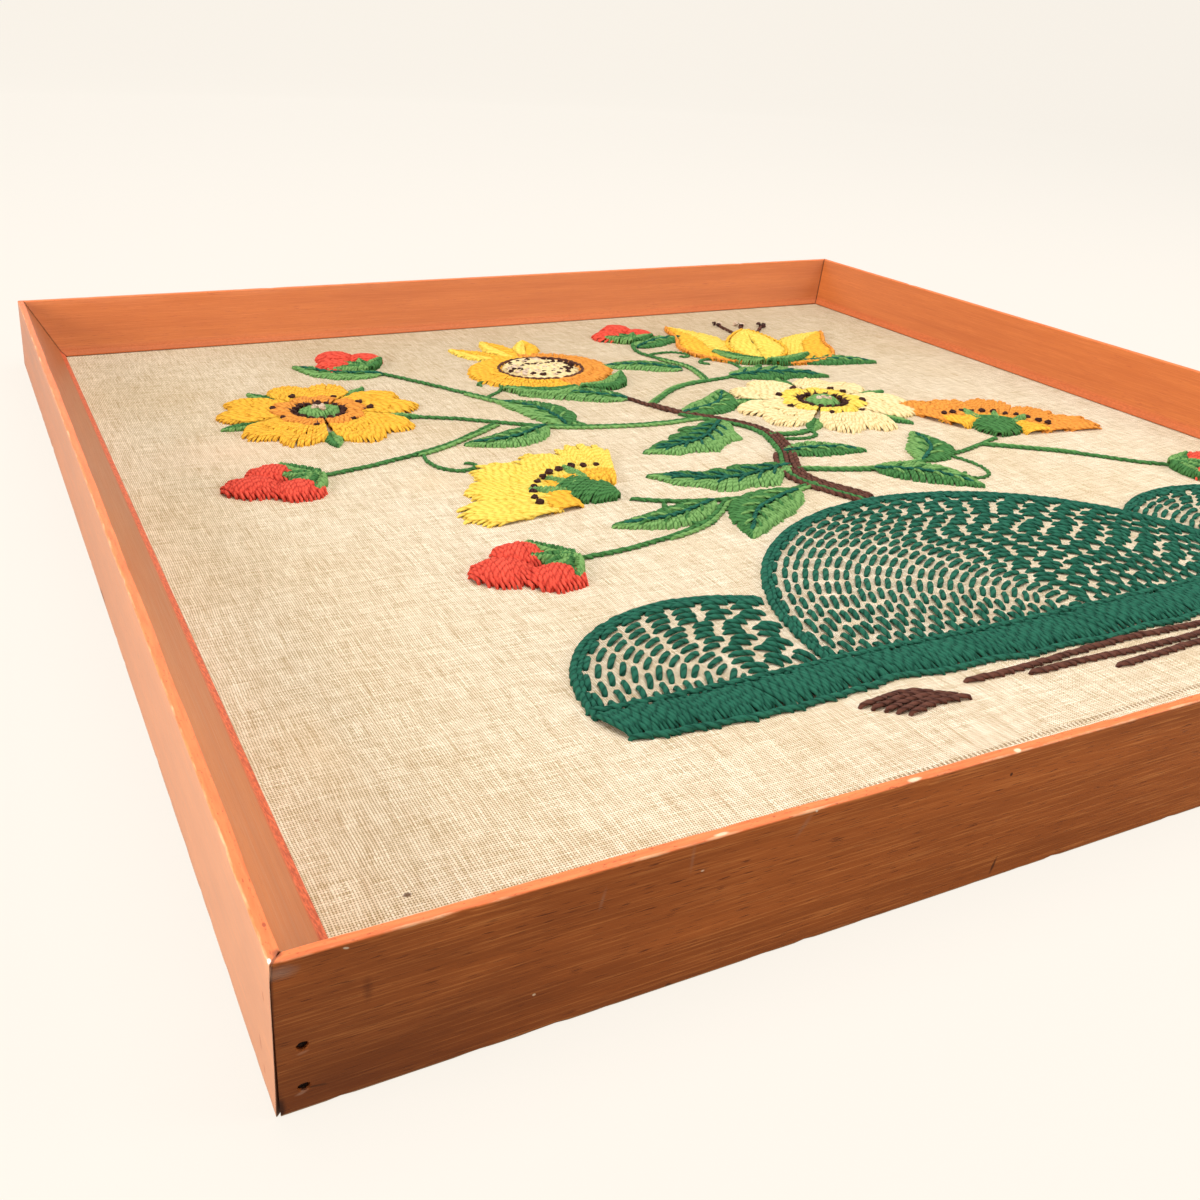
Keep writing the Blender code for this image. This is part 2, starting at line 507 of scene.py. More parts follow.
def add_marks(tree, place, colour, marks):
    """Lay marks over a colour: (centre, half lengths, lean in degrees, soft edge, strength, tint)."""
    for centre, size, lean, edge, strength, tint in marks:
        values = {"Vector": place, "Centre": centre, "Size": size, "Turn": math.radians(lean), "Edge": edge}
        mark = use_group(tree, ragged_spot, values)
        colour = mix_colours(tree, maths(tree, "MULTIPLY", mark["Mask"], strength), colour, (*tint, 1))
    return colour


def rail_material(name, length, seed, wax, sheen_fade_and_shade, grime, redness, marks):
    """Red-brown stain, waxed. A pale veil on the outer face, stronger towards one end, is painted
    reflection and in part fading; the inner slope darkens towards the other end with painted shade; grime
    darkens the outer face, most of all at its ends.
    """
    material, tree, shader = new_material(
        name, 0.4, Specular_IOR_Level=0.30, Coat_Weight=wax, Coat_Roughness=0.30
    )
    place = add_node(tree, "ShaderNodeTexCoord").outputs["Object"]
    shifted = add_node(
        tree, "ShaderNodeVectorMath", {0: place, 1: (seed, seed * 0.31, 0.0)}, operation="ADD"
    ).outputs[0]
    apart = add_node(tree, "ShaderNodeSeparateXYZ", {0: place}).outputs
    x, inset, height = apart["X"], apart["Y"], apart["Z"]
    from_middle = maths(tree, "ABSOLUTE", x)

    is_outer = remap(tree, inset, 0.0004, 0.0009, 1.0, 0.0)
    is_front = remap(tree, height, rail_depth - 0.0006, rail_depth - 0.0002)
    above_back = remap(tree, inset, rebate[0] + 0.002, rebate[0] + 0.003)
    is_lip = maths(
        tree, "MULTIPLY", remap(tree, height, slope_foot[1] + 0.0024, slope_foot[1] + 0.0004), above_back
    )
    under_lip = remap(tree, height, rebate[1] - 0.0001, rebate[1] + 0.0001, 1.0, 0.0)
    in_rebate = maths(
        tree, "MULTIPLY", under_lip, remap(tree, inset, rebate[0] - 0.0006, rebate[0] - 0.0002)
    )
    is_raw = maths(tree, "MAXIMUM", remap(tree, height, 0.0003, 0.0007, 1.0, 0.0), in_rebate)

    slope = use_group(
        tree,
        wood_grain,
        {
            "Vector": shifted,
            "Light": (0.60, 0.172, 0.040, 1),
            "Dark": (0.43, 0.105, 0.023, 1),
            "Streak": (0.70, 0.235, 0.075, 1),
            "Streaks": 0.25,
            "Pore": (0.38, 0.080, 0.022, 1),
            "Pore depth": 0.75,
        },
    )
    outer = use_group(
        tree,
        wood_grain,
        {
            "Vector": shifted,
            "Light": (0.60, 0.165, 0.036, 1),
            "Dark": (0.30, 0.076, 0.015, 1),
            "Streak": (0.78, 0.285, 0.078, 1),
            "Streaks": 0.80,
            "Pore": (0.13, 0.028, 0.008, 1),
            "Pore depth": 0.90,
        },
    )
    dirt_noise = uneven(tree, shifted, (16.0, 16.0, 55.0), 4.0, 0.6)
    end_share = remap(tree, from_middle, length * 0.30, length * 0.50)
    dirt = maths(
        tree,
        "MULTIPLY",
        remap(tree, dirt_noise, 0.35, 0.70),
        maths(tree, "MULTIPLY_ADD", end_share, 0.70, 0.20),
    )
    # Painted reflection: the outer face is mixed towards a pale veil, more towards its +X end, for the
    # sheen of the bright surroundings, in part fading of the stain.
    painted_sheen_and_fade = remap(tree, x, -length / 2, length / 2, sheen_fade_and_shade * 0.5, sheen_fade_and_shade * 1.7)
    outer_colour = mix_colours(tree, painted_sheen_and_fade, outer["Color"], (0.90, 0.50, 0.32, 1))
    outer_colour = mix_colours(
        tree, maths(tree, "MULTIPLY", dirt, grime), outer_colour, (0.150, 0.032, 0.009, 1)
    )
    # Painted shade: the inner slope is darkened towards its -X end, most of all on the left rail.
    painted_slope_shade = remap(tree, x, 0.0, length * 0.42, sheen_fade_and_shade * 1.7, 0.0)
    slope_colour = mix_colours(tree, painted_slope_shade, slope["Color"], (0.30, 0.105, 0.050, 1))
    colour = mix_colours(tree, is_outer, slope_colour, outer_colour)

    # The front edge is rubbed to a bright salmon, and the band at the sight edge is redder and pitted.
    front_grain = uneven(tree, shifted, (60.0, 700.0, 300.0), 4.0, 0.65)
    front_colour = mix_colours(
        tree, remap(tree, front_grain, 0.3, 0.7), (0.78, 0.165, 0.048, 1), (0.96, 0.270, 0.090, 1)
    )
    front_pit = remap(tree, uneven(tree, shifted, (600.0, 1400.0, 900.0), 2.0, 0.5), 0.63, 0.69)
    front_colour = mix_colours(
        tree, maths(tree, "MULTIPLY", front_pit, 0.6), front_colour, (0.36, 0.050, 0.018, 1)
    )
    colour = mix_colours(tree, is_front, colour, front_colour)
    lip_grain = uneven(tree, shifted, (500.0, 900.0, 900.0), 4.0, 0.7)
    lip_colour = mix_colours(
        tree, remap(tree, lip_grain, 0.38, 0.62), (0.42, 0.050, 0.018, 1), (0.84, 0.165, 0.062, 1)
    )
    colour = mix_colours(tree, maths(tree, "MULTIPLY", is_lip, redness), colour, lip_colour)

    # Rubbed arrises show the pale wood under the stain, in patches that wander a little.
    sway = maths(
        tree,
        "MULTIPLY",
        maths(tree, "SUBTRACT", uneven(tree, place, (35.0, 0.0, 0.0), 2.0, 0.5), 0.5),
        0.0006,
    )
    swayed = add_node(tree, "ShaderNodeCombineXYZ", {"Y": sway, "Z": sway}).outputs[0]
    edge_place = add_node(tree, "ShaderNodeVectorMath", {0: place, 1: swayed}, operation="ADD").outputs[0]
    for edge_inset, edge_height, width, amount, strength in (
        (0.0002, rail_depth - 0.0002, 0.00036, 0.46, 0.60),
        (0.0001, 0.0002, 0.0006, 0.30, 0.50),
        (front_edge, rail_depth, 0.0003, 0.34, 0.35),
    ):
        values = {
            "Vector": edge_place,
            "Inset": edge_inset,
            "Height": edge_height,
            "Width": width,
            "Amount": amount,
        }
        rubbed = use_group(tree, arris_wear, values)
        colour = mix_colours(
            tree, maths(tree, "MULTIPLY", rubbed["Mask"], strength), colour, (0.88, 0.56, 0.32, 1)
        )

    # Dirt and old glue blacken the mitred joints.
    to_joint = maths(tree, "SUBTRACT", maths(tree, "SUBTRACT", length / 2, inset), from_middle)
    joint = remap(tree, to_joint, mitre_gap + 0.0001, mitre_gap + 0.0005, 0.60, 0.0)
    colour = mix_colours(tree, joint, colour, (0.045, 0.016, 0.010, 1))
    colour = add_marks(tree, place, colour, marks)

    raw_grain = uneven(tree, shifted, (12.0, 400.0, 400.0), 4.0, 0.6)
    colour = mix_colours(
        tree, is_raw, colour, mix_colours(tree, raw_grain, (0.44, 0.26, 0.13, 1), (0.70, 0.47, 0.27, 1))
    )
    tree.links.new(colour, shader.inputs["Base Color"])

    rough = mix_values(tree, is_raw, slope["Roughness"], 0.75)
    rough = mix_values(tree, is_lip, rough, 0.62)
    tree.links.new(mix_values(tree, is_front, rough, 0.55), shader.inputs["Roughness"])
    relief = maths(tree, "MULTIPLY_ADD", lip_grain, maths(tree, "MULTIPLY", is_lip, 2.2), slope["Height"])
    bump = add_node(tree, "ShaderNodeBump", {"Height": relief, "Strength": 0.30, "Distance": 0.0004})
    tree.links.new(bump.outputs["Normal"], shader.inputs["Normal"])
    return material


joint_opening = 0.0007
hole_overrun = 0.0040
pale_wood = (0.90, 0.72, 0.50)
scuffed = (0.44, 0.20, 0.115)
soot = (0.040, 0.014, 0.008)
half_width = cad_high.x
half_height = cad_high.y

# Marks of the lower rail, from the near left corner to the right
bottom_marks = (
    ((-0.2960, 0.0, 0.0150), (0.0600, 0.002, 0.0450), 0, 0.95, 0.40, (0.15, 0.045, 0.015)),
    ((-0.3030, 0.0, rail_depth - 0.0030), (0.0050, 0.002, 0.0022), 0, 0.9, 0.45, (0.34, 0.27, 0.23)),
    ((-0.3042, 0.0, 0.0020), (0.0016, 0.002, 0.0050), 0, 0.6, 0.80, soot),
    ((-0.2990, 0.0, 0.0152), (0.0017, 0.002, 0.0005), -8, 0.6, 0.45, (0.55, 0.25, 0.14)),
    ((-0.2995, 0.0, 0.0046), (0.0017, 0.002, 0.0005), -12, 0.6, 0.55, (0.50, 0.26, 0.17)),
    ((-0.2960, 0.0, 0.0052), (0.0030, 0.002, 0.0004), 8, 0.6, 0.60, soot),
    ((-0.2847, 0.0, 0.0264), (0.0016, 0.002, 0.0040), 0, 0.9, 0.55, (0.13, 0.030, 0.010)),
    ((-0.2892, 0.0, 0.0387), (0.0008, 0.002, 0.0003), 20, 0.4, 0.90, (0.80, 0.62, 0.46)),
    ((-0.2460, 0.0, 0.0108), (0.0005, 0.002, 0.0004), 0, 0.4, 0.85, (0.85, 0.62, 0.42)),
    ((-0.2295, 0.0, 0.0317), (0.0007, 0.002, 0.0038), 14, 0.9, 0.55, scuffed),
    ((-0.2060, 0.0, 0.0358), (0.0007, 0.002, 0.0050), 4, 0.9, 0.50, scuffed),
    ((-0.2029, 0.0, 0.0315), (0.0006, 0.002, 0.0003), 0, 0.4, 0.90, (0.85, 0.60, 0.42)),
    ((-0.1741, 0.0, 0.0362), (0.0010, 0.002, 0.0050), 34, 0.9, 0.50, scuffed),
    ((-0.1708, 0.0, 0.0394), (0.0005, 0.002, 0.0004), 0, 0.4, 0.90, (0.80, 0.62, 0.46)),
    ((-0.1980, 0.0008, rail_depth), (0.0022, 0.0006, 0.0005), 0, 0.4, 0.80, pale_wood),
    ((-0.1394, 0.0008, rail_depth), (0.0026, 0.0010, 0.0007), 0, 0.4, 0.90, pale_wood),
    ((-0.1040, 0.0008, rail_depth), (0.0014, 0.0010, 0.0007), 0, 0.4, 0.95, pale_wood),
    ((-0.1055, 0.0, 0.0332), (0.0006, 0.002, 0.0006), 0, 0.4, 0.85, soot),
    ((-0.1062, 0.0, 0.0042), (0.0006, 0.002, 0.0034), 20, 0.6, 0.75, soot),
    ((-0.2101, 0.0, 0.0004), (0.0012, 0.002, 0.0010), 0, 0.5, 0.80, soot),
    ((-0.3026, 0.0022, rail_depth), (0.0013, 0.0011, 0.0010), 0, 0.7, 0.70, (0.20, 0.050, 0.020)),
)
# Marks of the left-hand rail, near the same corner
left_marks = (
    ((0.3159, 0.0003, rail_depth), (0.0009, 0.0007, 0.0012), 0, 0.25, 0.95, (0.92, 0.84, 0.76)),
    ((0.3146, 0.0024, rail_depth), (0.0016, 0.0014, 0.0010), 0, 0.7, 0.75, (0.22, 0.055, 0.022)),
    ((0.3099, 0.0, 0.0260), (0.0006, 0.002, 0.0016), -30, 0.5, 0.70, (0.40, 0.10, 0.05)),
    ((0.3046, 0.0, 0.0092), (0.0007, 0.002, 0.0022), -30, 0.6, 0.70, (0.42, 0.11, 0.06)),
    ((0.3074, 0.0, 0.0045), (0.0006, 0.002, 0.0012), -30, 0.5, 0.60, (0.42, 0.11, 0.06)),
    ((0.3053, 0.0020, rail_depth), (0.0009, 0.0005, 0.0008), 0, 0.4, 0.80, (0.42, 0.070, 0.030)),
    ((0.0460, 0.0, 0.0010), (0.0100, 0.002, 0.0018), 0, 0.5, 0.80, (0.24, 0.085, 0.038)),
)
for rail_name, length, place, turn, seed, wax, sheen_fade_and_shade, grime, redness, open_joint, chips, marks in (
    ("bottom_rail", 2 * half_width, (0.0, -half_height, 0.0), 0, 1.3, 0.02, 0.0, 0.85, 0.5, -1,
     (
         (-0.3040, 0.0020, 0.0010),
         (-0.2636, 0.0050, 0.0005),
         (-0.1394, 0.0030, 0.0009),
         (-0.1040, 0.0020, 0.0007),
     ),
     bottom_marks),
    ("right_rail", 2 * half_height, (half_width, 0.0, 0.0), 90, 4.1, 0.04, 0.0, 0.6, 0.25, 0,
     ((-0.1200, 0.0050, 0.0006), (0.2100, 0.0040, 0.0007)), ()),
    ("top_rail", 2 * half_width, (0.0, half_height, 0.0), 180, 7.7, 0.06, 0.1, 0.6, 0.15, 0,
     ((0.1500, 0.0050, 0.0006), (-0.2200, 0.0040, 0.0006)), ()),
    ("left_rail", 2 * half_height, (-half_width, 0.0, 0.0), -90, 11.2, 0.25, 0.35, 0.08, 0.9, 0,
     ((0.3165, 0.0022, 0.0012), (0.2750, 0.0040, 0.0005), (0.1200, 0.0050, 0.0005)), left_marks),
):
    mesh = rail_mesh(rail_name, length, seed, chips, open_joint)
    rail = new_piece(rail_name + "_moulding", mesh, (rail_name,))
    rail.matrix_world = Matrix.Translation(place) @ Matrix.Rotation(math.radians(turn), 4, "Z")
    bore_for_nails(rail, rail_name.split("_")[0])
    rail.data.materials.clear()
    rail.data.materials.append(rail_material(rail_name, length, seed, wax, sheen_fade_and_shade, grime, redness, marks))
    rail.data.shade_smooth()
    rail.data.set_sharp_from_angle(angle=math.radians(42))
    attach(rail, "root")


# ---------------------------------------------------------------------------------------------
# Nails: small steel pins, two in each corner, driven through the ends of the lower and upper
# rails and punched just under the surface. Their heads have rusted nearly black.
rust, rust_tree, rust_shader = new_material("rusted_steel", 0.6)
rust_place = add_node(rust_tree, "ShaderNodeTexCoord").outputs["Object"]
rust_noise = uneven(rust_tree, rust_place, (1400.0, 1400.0, 1400.0), 4.0, 0.7)
rust_tree.links.new(
    mix_colours(
        rust_tree,
        remap(rust_tree, rust_noise, 0.40, 0.62),
        (0.010, 0.007, 0.006, 1),
        (0.050, 0.020, 0.010, 1),
    ),
    rust_shader.inputs["Base Color"],
)
rust_tree.links.new(remap(rust_tree, rust_noise, 0.35, 0.6, 0.9, 0.1), rust_shader.inputs["Metallic"])
rust_tree.links.new(remap(rust_tree, rust_noise, 0.35, 0.65, 0.4, 0.85), rust_shader.inputs["Roughness"])
rust_bump = add_node(
    rust_tree, "ShaderNodeBump", {"Height": rust_noise, "Strength": 0.5, "Distance": 0.0002}
)
rust_tree.links.new(rust_bump.outputs["Normal"], rust_shader.inputs["Normal"])
for node_name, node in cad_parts.items():
    if node_name.startswith("nail_"):
        node.data.materials.clear()
        node.data.materials.append(rust)


# ---------------------------------------------------------------------------------------------
# Linen: one sheet of unbleached, slubby plain-weave linen, stretched flat and held behind the lip
# of the moulding. It is a little marked by age, and a row of threads is drawn near the lower edge.
linen_low, linen_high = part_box("linen")
sheet_inset = 0.0004
sheet_thickness = 0.0009
grid_spacing = 0.0050
thread_pitch = 0.00085
calm_border = 0.030
drawn_row_slope = 0.028
drawn_row_middle = -0.2740
drawn_row_pitch = 0.0019


def cloth_rise(x, y):
    """How far the stretched cloth swells above its flat place; it is calm near the moulding."""
    swell = np.sin(17 * x + 5 * y + 1.0) + np.sin(11 * y - 7 * x + 2.1) + 0.6 * np.sin(31 * x - 23 * y)
    from_side = np.minimum(linen_high.x - np.abs(x), linen_high.y - np.abs(y))
    calm = np.clip((from_side - 0.010) / calm_border, 0.0, 1.0)
    return 0.00020 * swell * calm


cloth_top = linen_high.z - 0.0001
across = np.linspace(
    linen_low.x + sheet_inset, linen_high.x - sheet_inset, int((linen_high.x - linen_low.x) / grid_spacing)
)
upward = np.linspace(
    linen_low.y + sheet_inset, linen_high.y - sheet_inset, int((linen_high.y - linen_low.y) / grid_spacing)
)
grid_x, grid_y = np.meshgrid(across, upward)
grid_z = cloth_top + cloth_rise(grid_x, grid_y)
columns = len(across)
linen_faces = [
    (
        row * columns + column,
        row * columns + column + 1,
        (row + 1) * columns + column + 1,
        (row + 1) * columns + column,
    )
    for row in range(len(upward) - 1)
    for column in range(columns - 1)
]
linen_mesh = bpy.data.meshes.new("linen_ground")
linen_mesh.from_pydata(np.stack((grid_x, grid_y, grid_z), -1).reshape(-1, 3).tolist(), [], linen_faces)
linen_mesh.shade_smooth()
linen = new_piece("linen_ground", linen_mesh, ("linen",))
thickness = linen.modifiers.new("cloth_thickness", "SOLIDIFY")
thickness.thickness = sheet_thickness
thickness.offset = -1.0
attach(linen, "root")


def weave_group():
    """Plain weave: threads along X and Y pass over and under each other, uneven in tone and width; the gaps
    and the low parts of the threads are darkened with painted shade.
    """
    group, given, out = new_group(
        "plain_weave",
        (
            ("Vector", "vector", None),
            ("Pitch", "value", 0.00085),
            ("Light", "colour", (0.90, 0.80, 0.60, 1)),
            ("Dark", "colour", (0.50, 0.38, 0.20, 1)),
            ("Gap", "colour", (0.20, 0.13, 0.06, 1)),
        ),
        (("Color", "colour"), ("Height", "value")),
    )
    sway = add_node(group, "ShaderNodeTexNoise", {"Vector": given["Vector"], "Scale": 40.0, "Detail": 1.0})
    centred = add_node(
        group, "ShaderNodeVectorMath", {0: sway.outputs["Color"], 1: (0.5, 0.5, 0.5)}, operation="SUBTRACT"
    )
    moved = add_node(
        group,
        "ShaderNodeVectorMath",
        {0: centred.outputs[0], 1: (0.0016, 0.0016, 0.0), 2: given["Vector"]},
        operation="MULTIPLY_ADD",
    )
    apart = add_node(group, "ShaderNodeSeparateXYZ", {0: moved.outputs[0]}).outputs
    count_x = maths(group, "DIVIDE", apart["X"], given["Pitch"])
    count_y = maths(group, "DIVIDE", apart["Y"], given["Pitch"])
    whole_x = maths(group, "FLOOR", count_x)
    whole_y = maths(group, "FLOOR", count_y)
    part_x = maths(group, "SUBTRACT", maths(group, "SUBTRACT", count_x, whole_x), 0.5)
    part_y = maths(group, "SUBTRACT", maths(group, "SUBTRACT", count_y, whole_y), 0.5)
    odd = maths(group, "PINGPONG", maths(group, "ADD", whole_x, whole_y), 1.0)
    over = maths(group, "MULTIPLY_ADD", odd, -2.0, 1.0)

    def thread(across_part, along_part, side, thread_count, along_count):
        """One set of threads: its height, which is 0 between threads, and its slubs."""
        seeds = {
            "X": maths(group, "MULTIPLY", thread_count, 7.31),
            "Y": maths(group, "MULTIPLY", along_count, 0.06),
            "Z": side * 5.0,
        }
        seed = add_node(group, "ShaderNodeCombineXYZ", seeds).outputs[0]
        noise_values = {"Vector": seed, "Scale": 1.0, "Detail": 2.0, "Roughness": 0.6}
        slub = add_node(group, "ShaderNodeTexNoise", noise_values).outputs["Fac"]
        half = remap(group, slub, 0.30, 0.70, 0.27, 0.47)
        inside = maths(group, "DIVIDE", across_part, half)
        round_part = maths(
            group, "MAXIMUM", maths(group, "SUBTRACT", 1.0, maths(group, "MULTIPLY", inside, inside)), 0.0
        )
        crown = maths(
            group, "MULTIPLY", over, maths(group, "COSINE", maths(group, "MULTIPLY", along_part, math.pi))
        )
        level = maths(group, "MULTIPLY_ADD", crown, side * 0.30, 0.62)
        return maths(group, "MULTIPLY", maths(group, "SQRT", round_part), level), slub

    warp, warp_slub = thread(part_x, part_y, 1.0, whole_x, count_y)
    weft, weft_slub = thread(part_y, part_x, -1.0, whole_y, count_x)
    height = maths(group, "MAXIMUM", warp, weft)
    slub = mix_values(group, maths(group, "GREATER_THAN", warp, weft), weft_slub, warp_slub)
    fibre = uneven(group, given["Vector"], (2600.0, 2600.0, 2600.0), 2.0, 0.6)
    shade = maths(group, "MULTIPLY_ADD", fibre, 0.35, maths(group, "MULTIPLY", slub, 0.65))
    thread_colour = mix_colours(group, remap(group, shade, 0.36, 0.62), given["Dark"], given["Light"])
    # Painted shade: where the threads lie low, and in the gaps between them, the colour goes towards the
    # Gap colour.
    covered = remap(group, height, 0.26, 0.60)
    group.links.new(mix_colours(group, covered, given["Gap"], thread_colour), out["Color"])
    group.links.new(maths(group, "MULTIPLY_ADD", fibre, 0.10, height), out["Height"])
    return group


plain_weave = weave_group()
cloth, cloth_tree, cloth_shader = new_material(
    "natural_linen", 0.92, Specular_IOR_Level=0.2, Sheen_Weight=0.10, Sheen_Roughness=0.5
)
cloth_place = add_node(cloth_tree, "ShaderNodeTexCoord").outputs["Object"]
woven = use_group(
    cloth_tree,
    plain_weave,
    {
        "Vector": cloth_place,
        "Pitch": thread_pitch,
        "Light": (0.99, 0.89, 0.74, 1),
        "Dark": (0.70, 0.57, 0.37, 1),
        "Gap": (0.27, 0.165, 0.055, 1),
    },
)
cloth_colour = woven["Color"]

# Long slubs: darker gaps run between the threads for a few centimetres, more of them up the cloth.
for slub_scales, slub_strength in (((900.0, 40.0, 1.0), 0.60), ((26.0, 1100.0, 1.0), 0.12)):
    slub_noise = uneven(cloth_tree, cloth_place, slub_scales, 2.0, 0.5)
    slub_here = remap(cloth_tree, slub_noise, 0.55, 0.78, 0.0, slub_strength)
    cloth_colour = mix_colours(cloth_tree, slub_here, cloth_colour, (0.62, 0.47, 0.26, 1), "MULTIPLY")

# Age has toned the cloth in soft patches, with a faint peach bloom; the cloth is also made browner along
# the left side and greyer towards the far side, except along the left.
patches = uneven(cloth_tree, cloth_place, (9.0, 9.0, 9.0), 3.0, 0.6)
toned = remap(cloth_tree, patches, 0.42, 0.72, 0.0, 0.30)
cloth_colour = mix_colours(cloth_tree, toned, cloth_colour, (0.80, 0.66, 0.42, 1), "MULTIPLY")
cloth_apart = add_node(cloth_tree, "ShaderNodeSeparateXYZ", {0: cloth_place}).outputs
uneven_x = maths(cloth_tree, "MULTIPLY_ADD", patches, 0.10, cloth_apart["X"])
left_tone = remap(cloth_tree, uneven_x, linen_low.x + 0.03, linen_low.x + 0.17, 0.22, 0.0)
cloth_colour = mix_colours(cloth_tree, left_tone, cloth_colour, (0.84, 0.68, 0.42, 1), "MULTIPLY")
far_tone = maths(
    cloth_tree,
    "MULTIPLY",
    remap(cloth_tree, cloth_apart["Y"], -0.02, 0.26, 0.0, 0.75),
    remap(cloth_tree, uneven_x, -0.26, -0.06),
)
cloth_colour = mix_colours(cloth_tree, far_tone, cloth_colour, (0.72, 0.66, 0.56, 1), "MULTIPLY")
stain, speck = (0.80, 0.58, 0.34), (0.12, 0.06, 0.03)
linen_marks = (
    ((-0.225, 0.085, cloth_top), (0.050, 0.036, 0.02), 0, 0.95, 0.30, (0.84, 0.56, 0.38)),
    ((-0.150, 0.010, cloth_top), (0.020, 0.026, 0.02), 0, 0.95, 0.20, stain),
    ((-0.262, -0.195, cloth_top), (0.012, 0.034, 0.02), 0, 0.95, 0.22, stain),
    ((-0.2597, -0.2699, cloth_top), (0.0013, 0.0010, 0.01), 0, 0.4, 0.90, speck),
    ((-0.2720, -0.2300, cloth_top), (0.0008, 0.0009, 0.01), 0, 0.4, 0.60, (0.36, 0.20, 0.09)),
    ((-0.060, -0.1600, cloth_top), (0.0012, 0.0022, 0.01), 0, 0.5, 0.45, (0.42, 0.27, 0.12)),
    ((-0.175, -0.0900, cloth_top), (0.0024, 0.0011, 0.01), 0, 0.5, 0.50, (0.40, 0.26, 0.12)),
    ((0.030, -0.2500, cloth_top), (0.0010, 0.0016, 0.01), 0, 0.5, 0.40, (0.42, 0.27, 0.12)),
    ((-0.120, -0.1900, cloth_top), (0.0030, 0.0009, 0.01), 0, 0.5, 0.35, (0.46, 0.30, 0.14)),
)
cloth_colour = add_marks(cloth_tree, cloth_place, cloth_colour, linen_marks)

# The drawn-thread row: open dashes side by side, near the lower edge and a little off the straight.
row_y = maths(cloth_tree, "MULTIPLY_ADD", cloth_apart["X"], drawn_row_slope, drawn_row_middle)
row_part = maths(cloth_tree, "ABSOLUTE", maths(cloth_tree, "SUBTRACT", cloth_apart["Y"], row_y))
dash_part = maths(cloth_tree, "FRACT", maths(cloth_tree, "DIVIDE", cloth_apart["X"], drawn_row_pitch))
in_row = remap(cloth_tree, row_part, 0.0007, 0.0011, 1.0, 0.0)
open_here = maths(cloth_tree, "MULTIPLY", in_row, remap(cloth_tree, dash_part, 0.38, 0.52, 1.0, 0.0))
open_here = maths(
    cloth_tree, "MULTIPLY", open_here, remap(cloth_tree, cloth_apart["X"], -0.22, -0.10, 0.0, 0.85)
)
cloth_colour = mix_colours(cloth_tree, open_here, cloth_colour, (0.30, 0.20, 0.10, 1))
cloth_tree.links.new(cloth_colour, cloth_shader.inputs["Base Color"])
cloth_height = maths(cloth_tree, "SUBTRACT", woven["Height"], maths(cloth_tree, "MULTIPLY", open_here, 1.2))
cloth_bump = add_node(
    cloth_tree, "ShaderNodeBump", {"Height": cloth_height, "Strength": 0.40, "Distance": 0.0003}
)
cloth_tree.links.new(cloth_bump.outputs["Normal"], cloth_shader.inputs["Normal"])
linen_mesh.materials.append(cloth)


# ---------------------------------------------------------------------------------------------
# Crewel wool: soft two-ply worsted, about 2 mm thick, worked with a needle through the linen. Each
# stitch is one length of yarn that comes up through the cloth, lies along it and goes down again.
draws = np.random.default_rng(20)
yarn_width = 0.0022
yarn_flatness = 0.78
ply_turn = 0.0085
run_sides = 6
short_run = 0.0095
golden_angle = 2.39996


def wool_group():
    """Twisted wool: two plies with a groove between, darkened with painted shade, fine fibres along them,
    uneven dye.
    """
    group, given, out = new_group(
        "wool_fibre",
        (
            ("Yarn", "vector", None),
            ("Tone", "value", 0.0),
            ("Color", "colour", (0.8, 0.4, 0.1, 1)),
            ("Shadow", "colour", (0.3, 0.12, 0.03, 1)),
        ),
        (("Color", "colour"), ("Height", "value")),
    )
    parts = add_node(group, "ShaderNodeSeparateXYZ")
    group.links.new(given["Yarn"], parts.inputs[0])
    length, around = parts.outputs["X"], parts.outputs["Y"]
    turned = maths(group, "MULTIPLY_ADD", length, math.tau / ply_turn, around)
    across = maths(group, "COSINE", turned)
    groove = maths(group, "SUBTRACT", 1.0, maths(group, "ABSOLUTE", across))
    groove = maths(group, "POWER", groove, 1.6)
    spun = add_node(group, "ShaderNodeCombineXYZ")
    group.links.new(length, spun.inputs["X"])
    group.links.new(across, spun.inputs["Y"])
    group.links.new(maths(group, "SINE", turned), spun.inputs["Z"])
    strands = uneven(group, spun.outputs[0], (200.0, 4.2, 4.2), 3.0, 0.7)
    tufts = uneven(group, spun.outputs[0], (1100.0, 2.0, 2.0), 2.0, 0.6)
    light = maths(group, "MULTIPLY_ADD", strands, 0.7, maths(group, "MULTIPLY", tufts, 0.3))
    dark = maths(group, "SUBTRACT", 1.0, remap(group, light, 0.30, 0.62))
    # Painted shade: the wool darkens towards its Shadow colour in the groove between the plies.
    shaded = maths(group, "MULTIPLY_ADD", dark, 0.45, maths(group, "MULTIPLY", groove, 0.85))
    shaded = maths(group, "MINIMUM", maths(group, "MULTIPLY_ADD", given["Tone"], 0.16, shaded), 1.0)
    mixed = mix_colours(group, maths(group, "MAXIMUM", shaded, 0.0), given["Color"], given["Shadow"])
    group.links.new(mixed, out["Color"])
    height = maths(group, "MULTIPLY_ADD", groove, -1.4, light)
    group.links.new(height, out["Height"])
    return group


wool_fibre = wool_group()


def wool_material(name, colour, shadow):
    material, tree, shader = new_material(
        name, 0.88, Specular_IOR_Level=0.15, Sheen_Weight=0.18, Sheen_Roughness=0.5, Sheen_Tint=(
            *colour, 1.0
        )
    )
    spun = use_group(
        tree,
        wool_fibre,
        {
            "Yarn": add_node(tree, "ShaderNodeAttribute", attribute_name="yarn").outputs["Vector"],
            "Tone": add_node(tree, "ShaderNodeAttribute", attribute_name="tone").outputs["Fac"],
            "Color": (*colour, 1.0),
            "Shadow": (*shadow, 1.0),
        },
    )
    tree.links.new(spun["Color"], shader.inputs["Base Color"])
    bump = add_node(tree, "ShaderNodeBump", {"Height": spun["Height"], "Strength": 0.8, "Distance": 0.0004})
    tree.links.new(bump.outputs["Normal"], shader.inputs["Normal"])
    return material


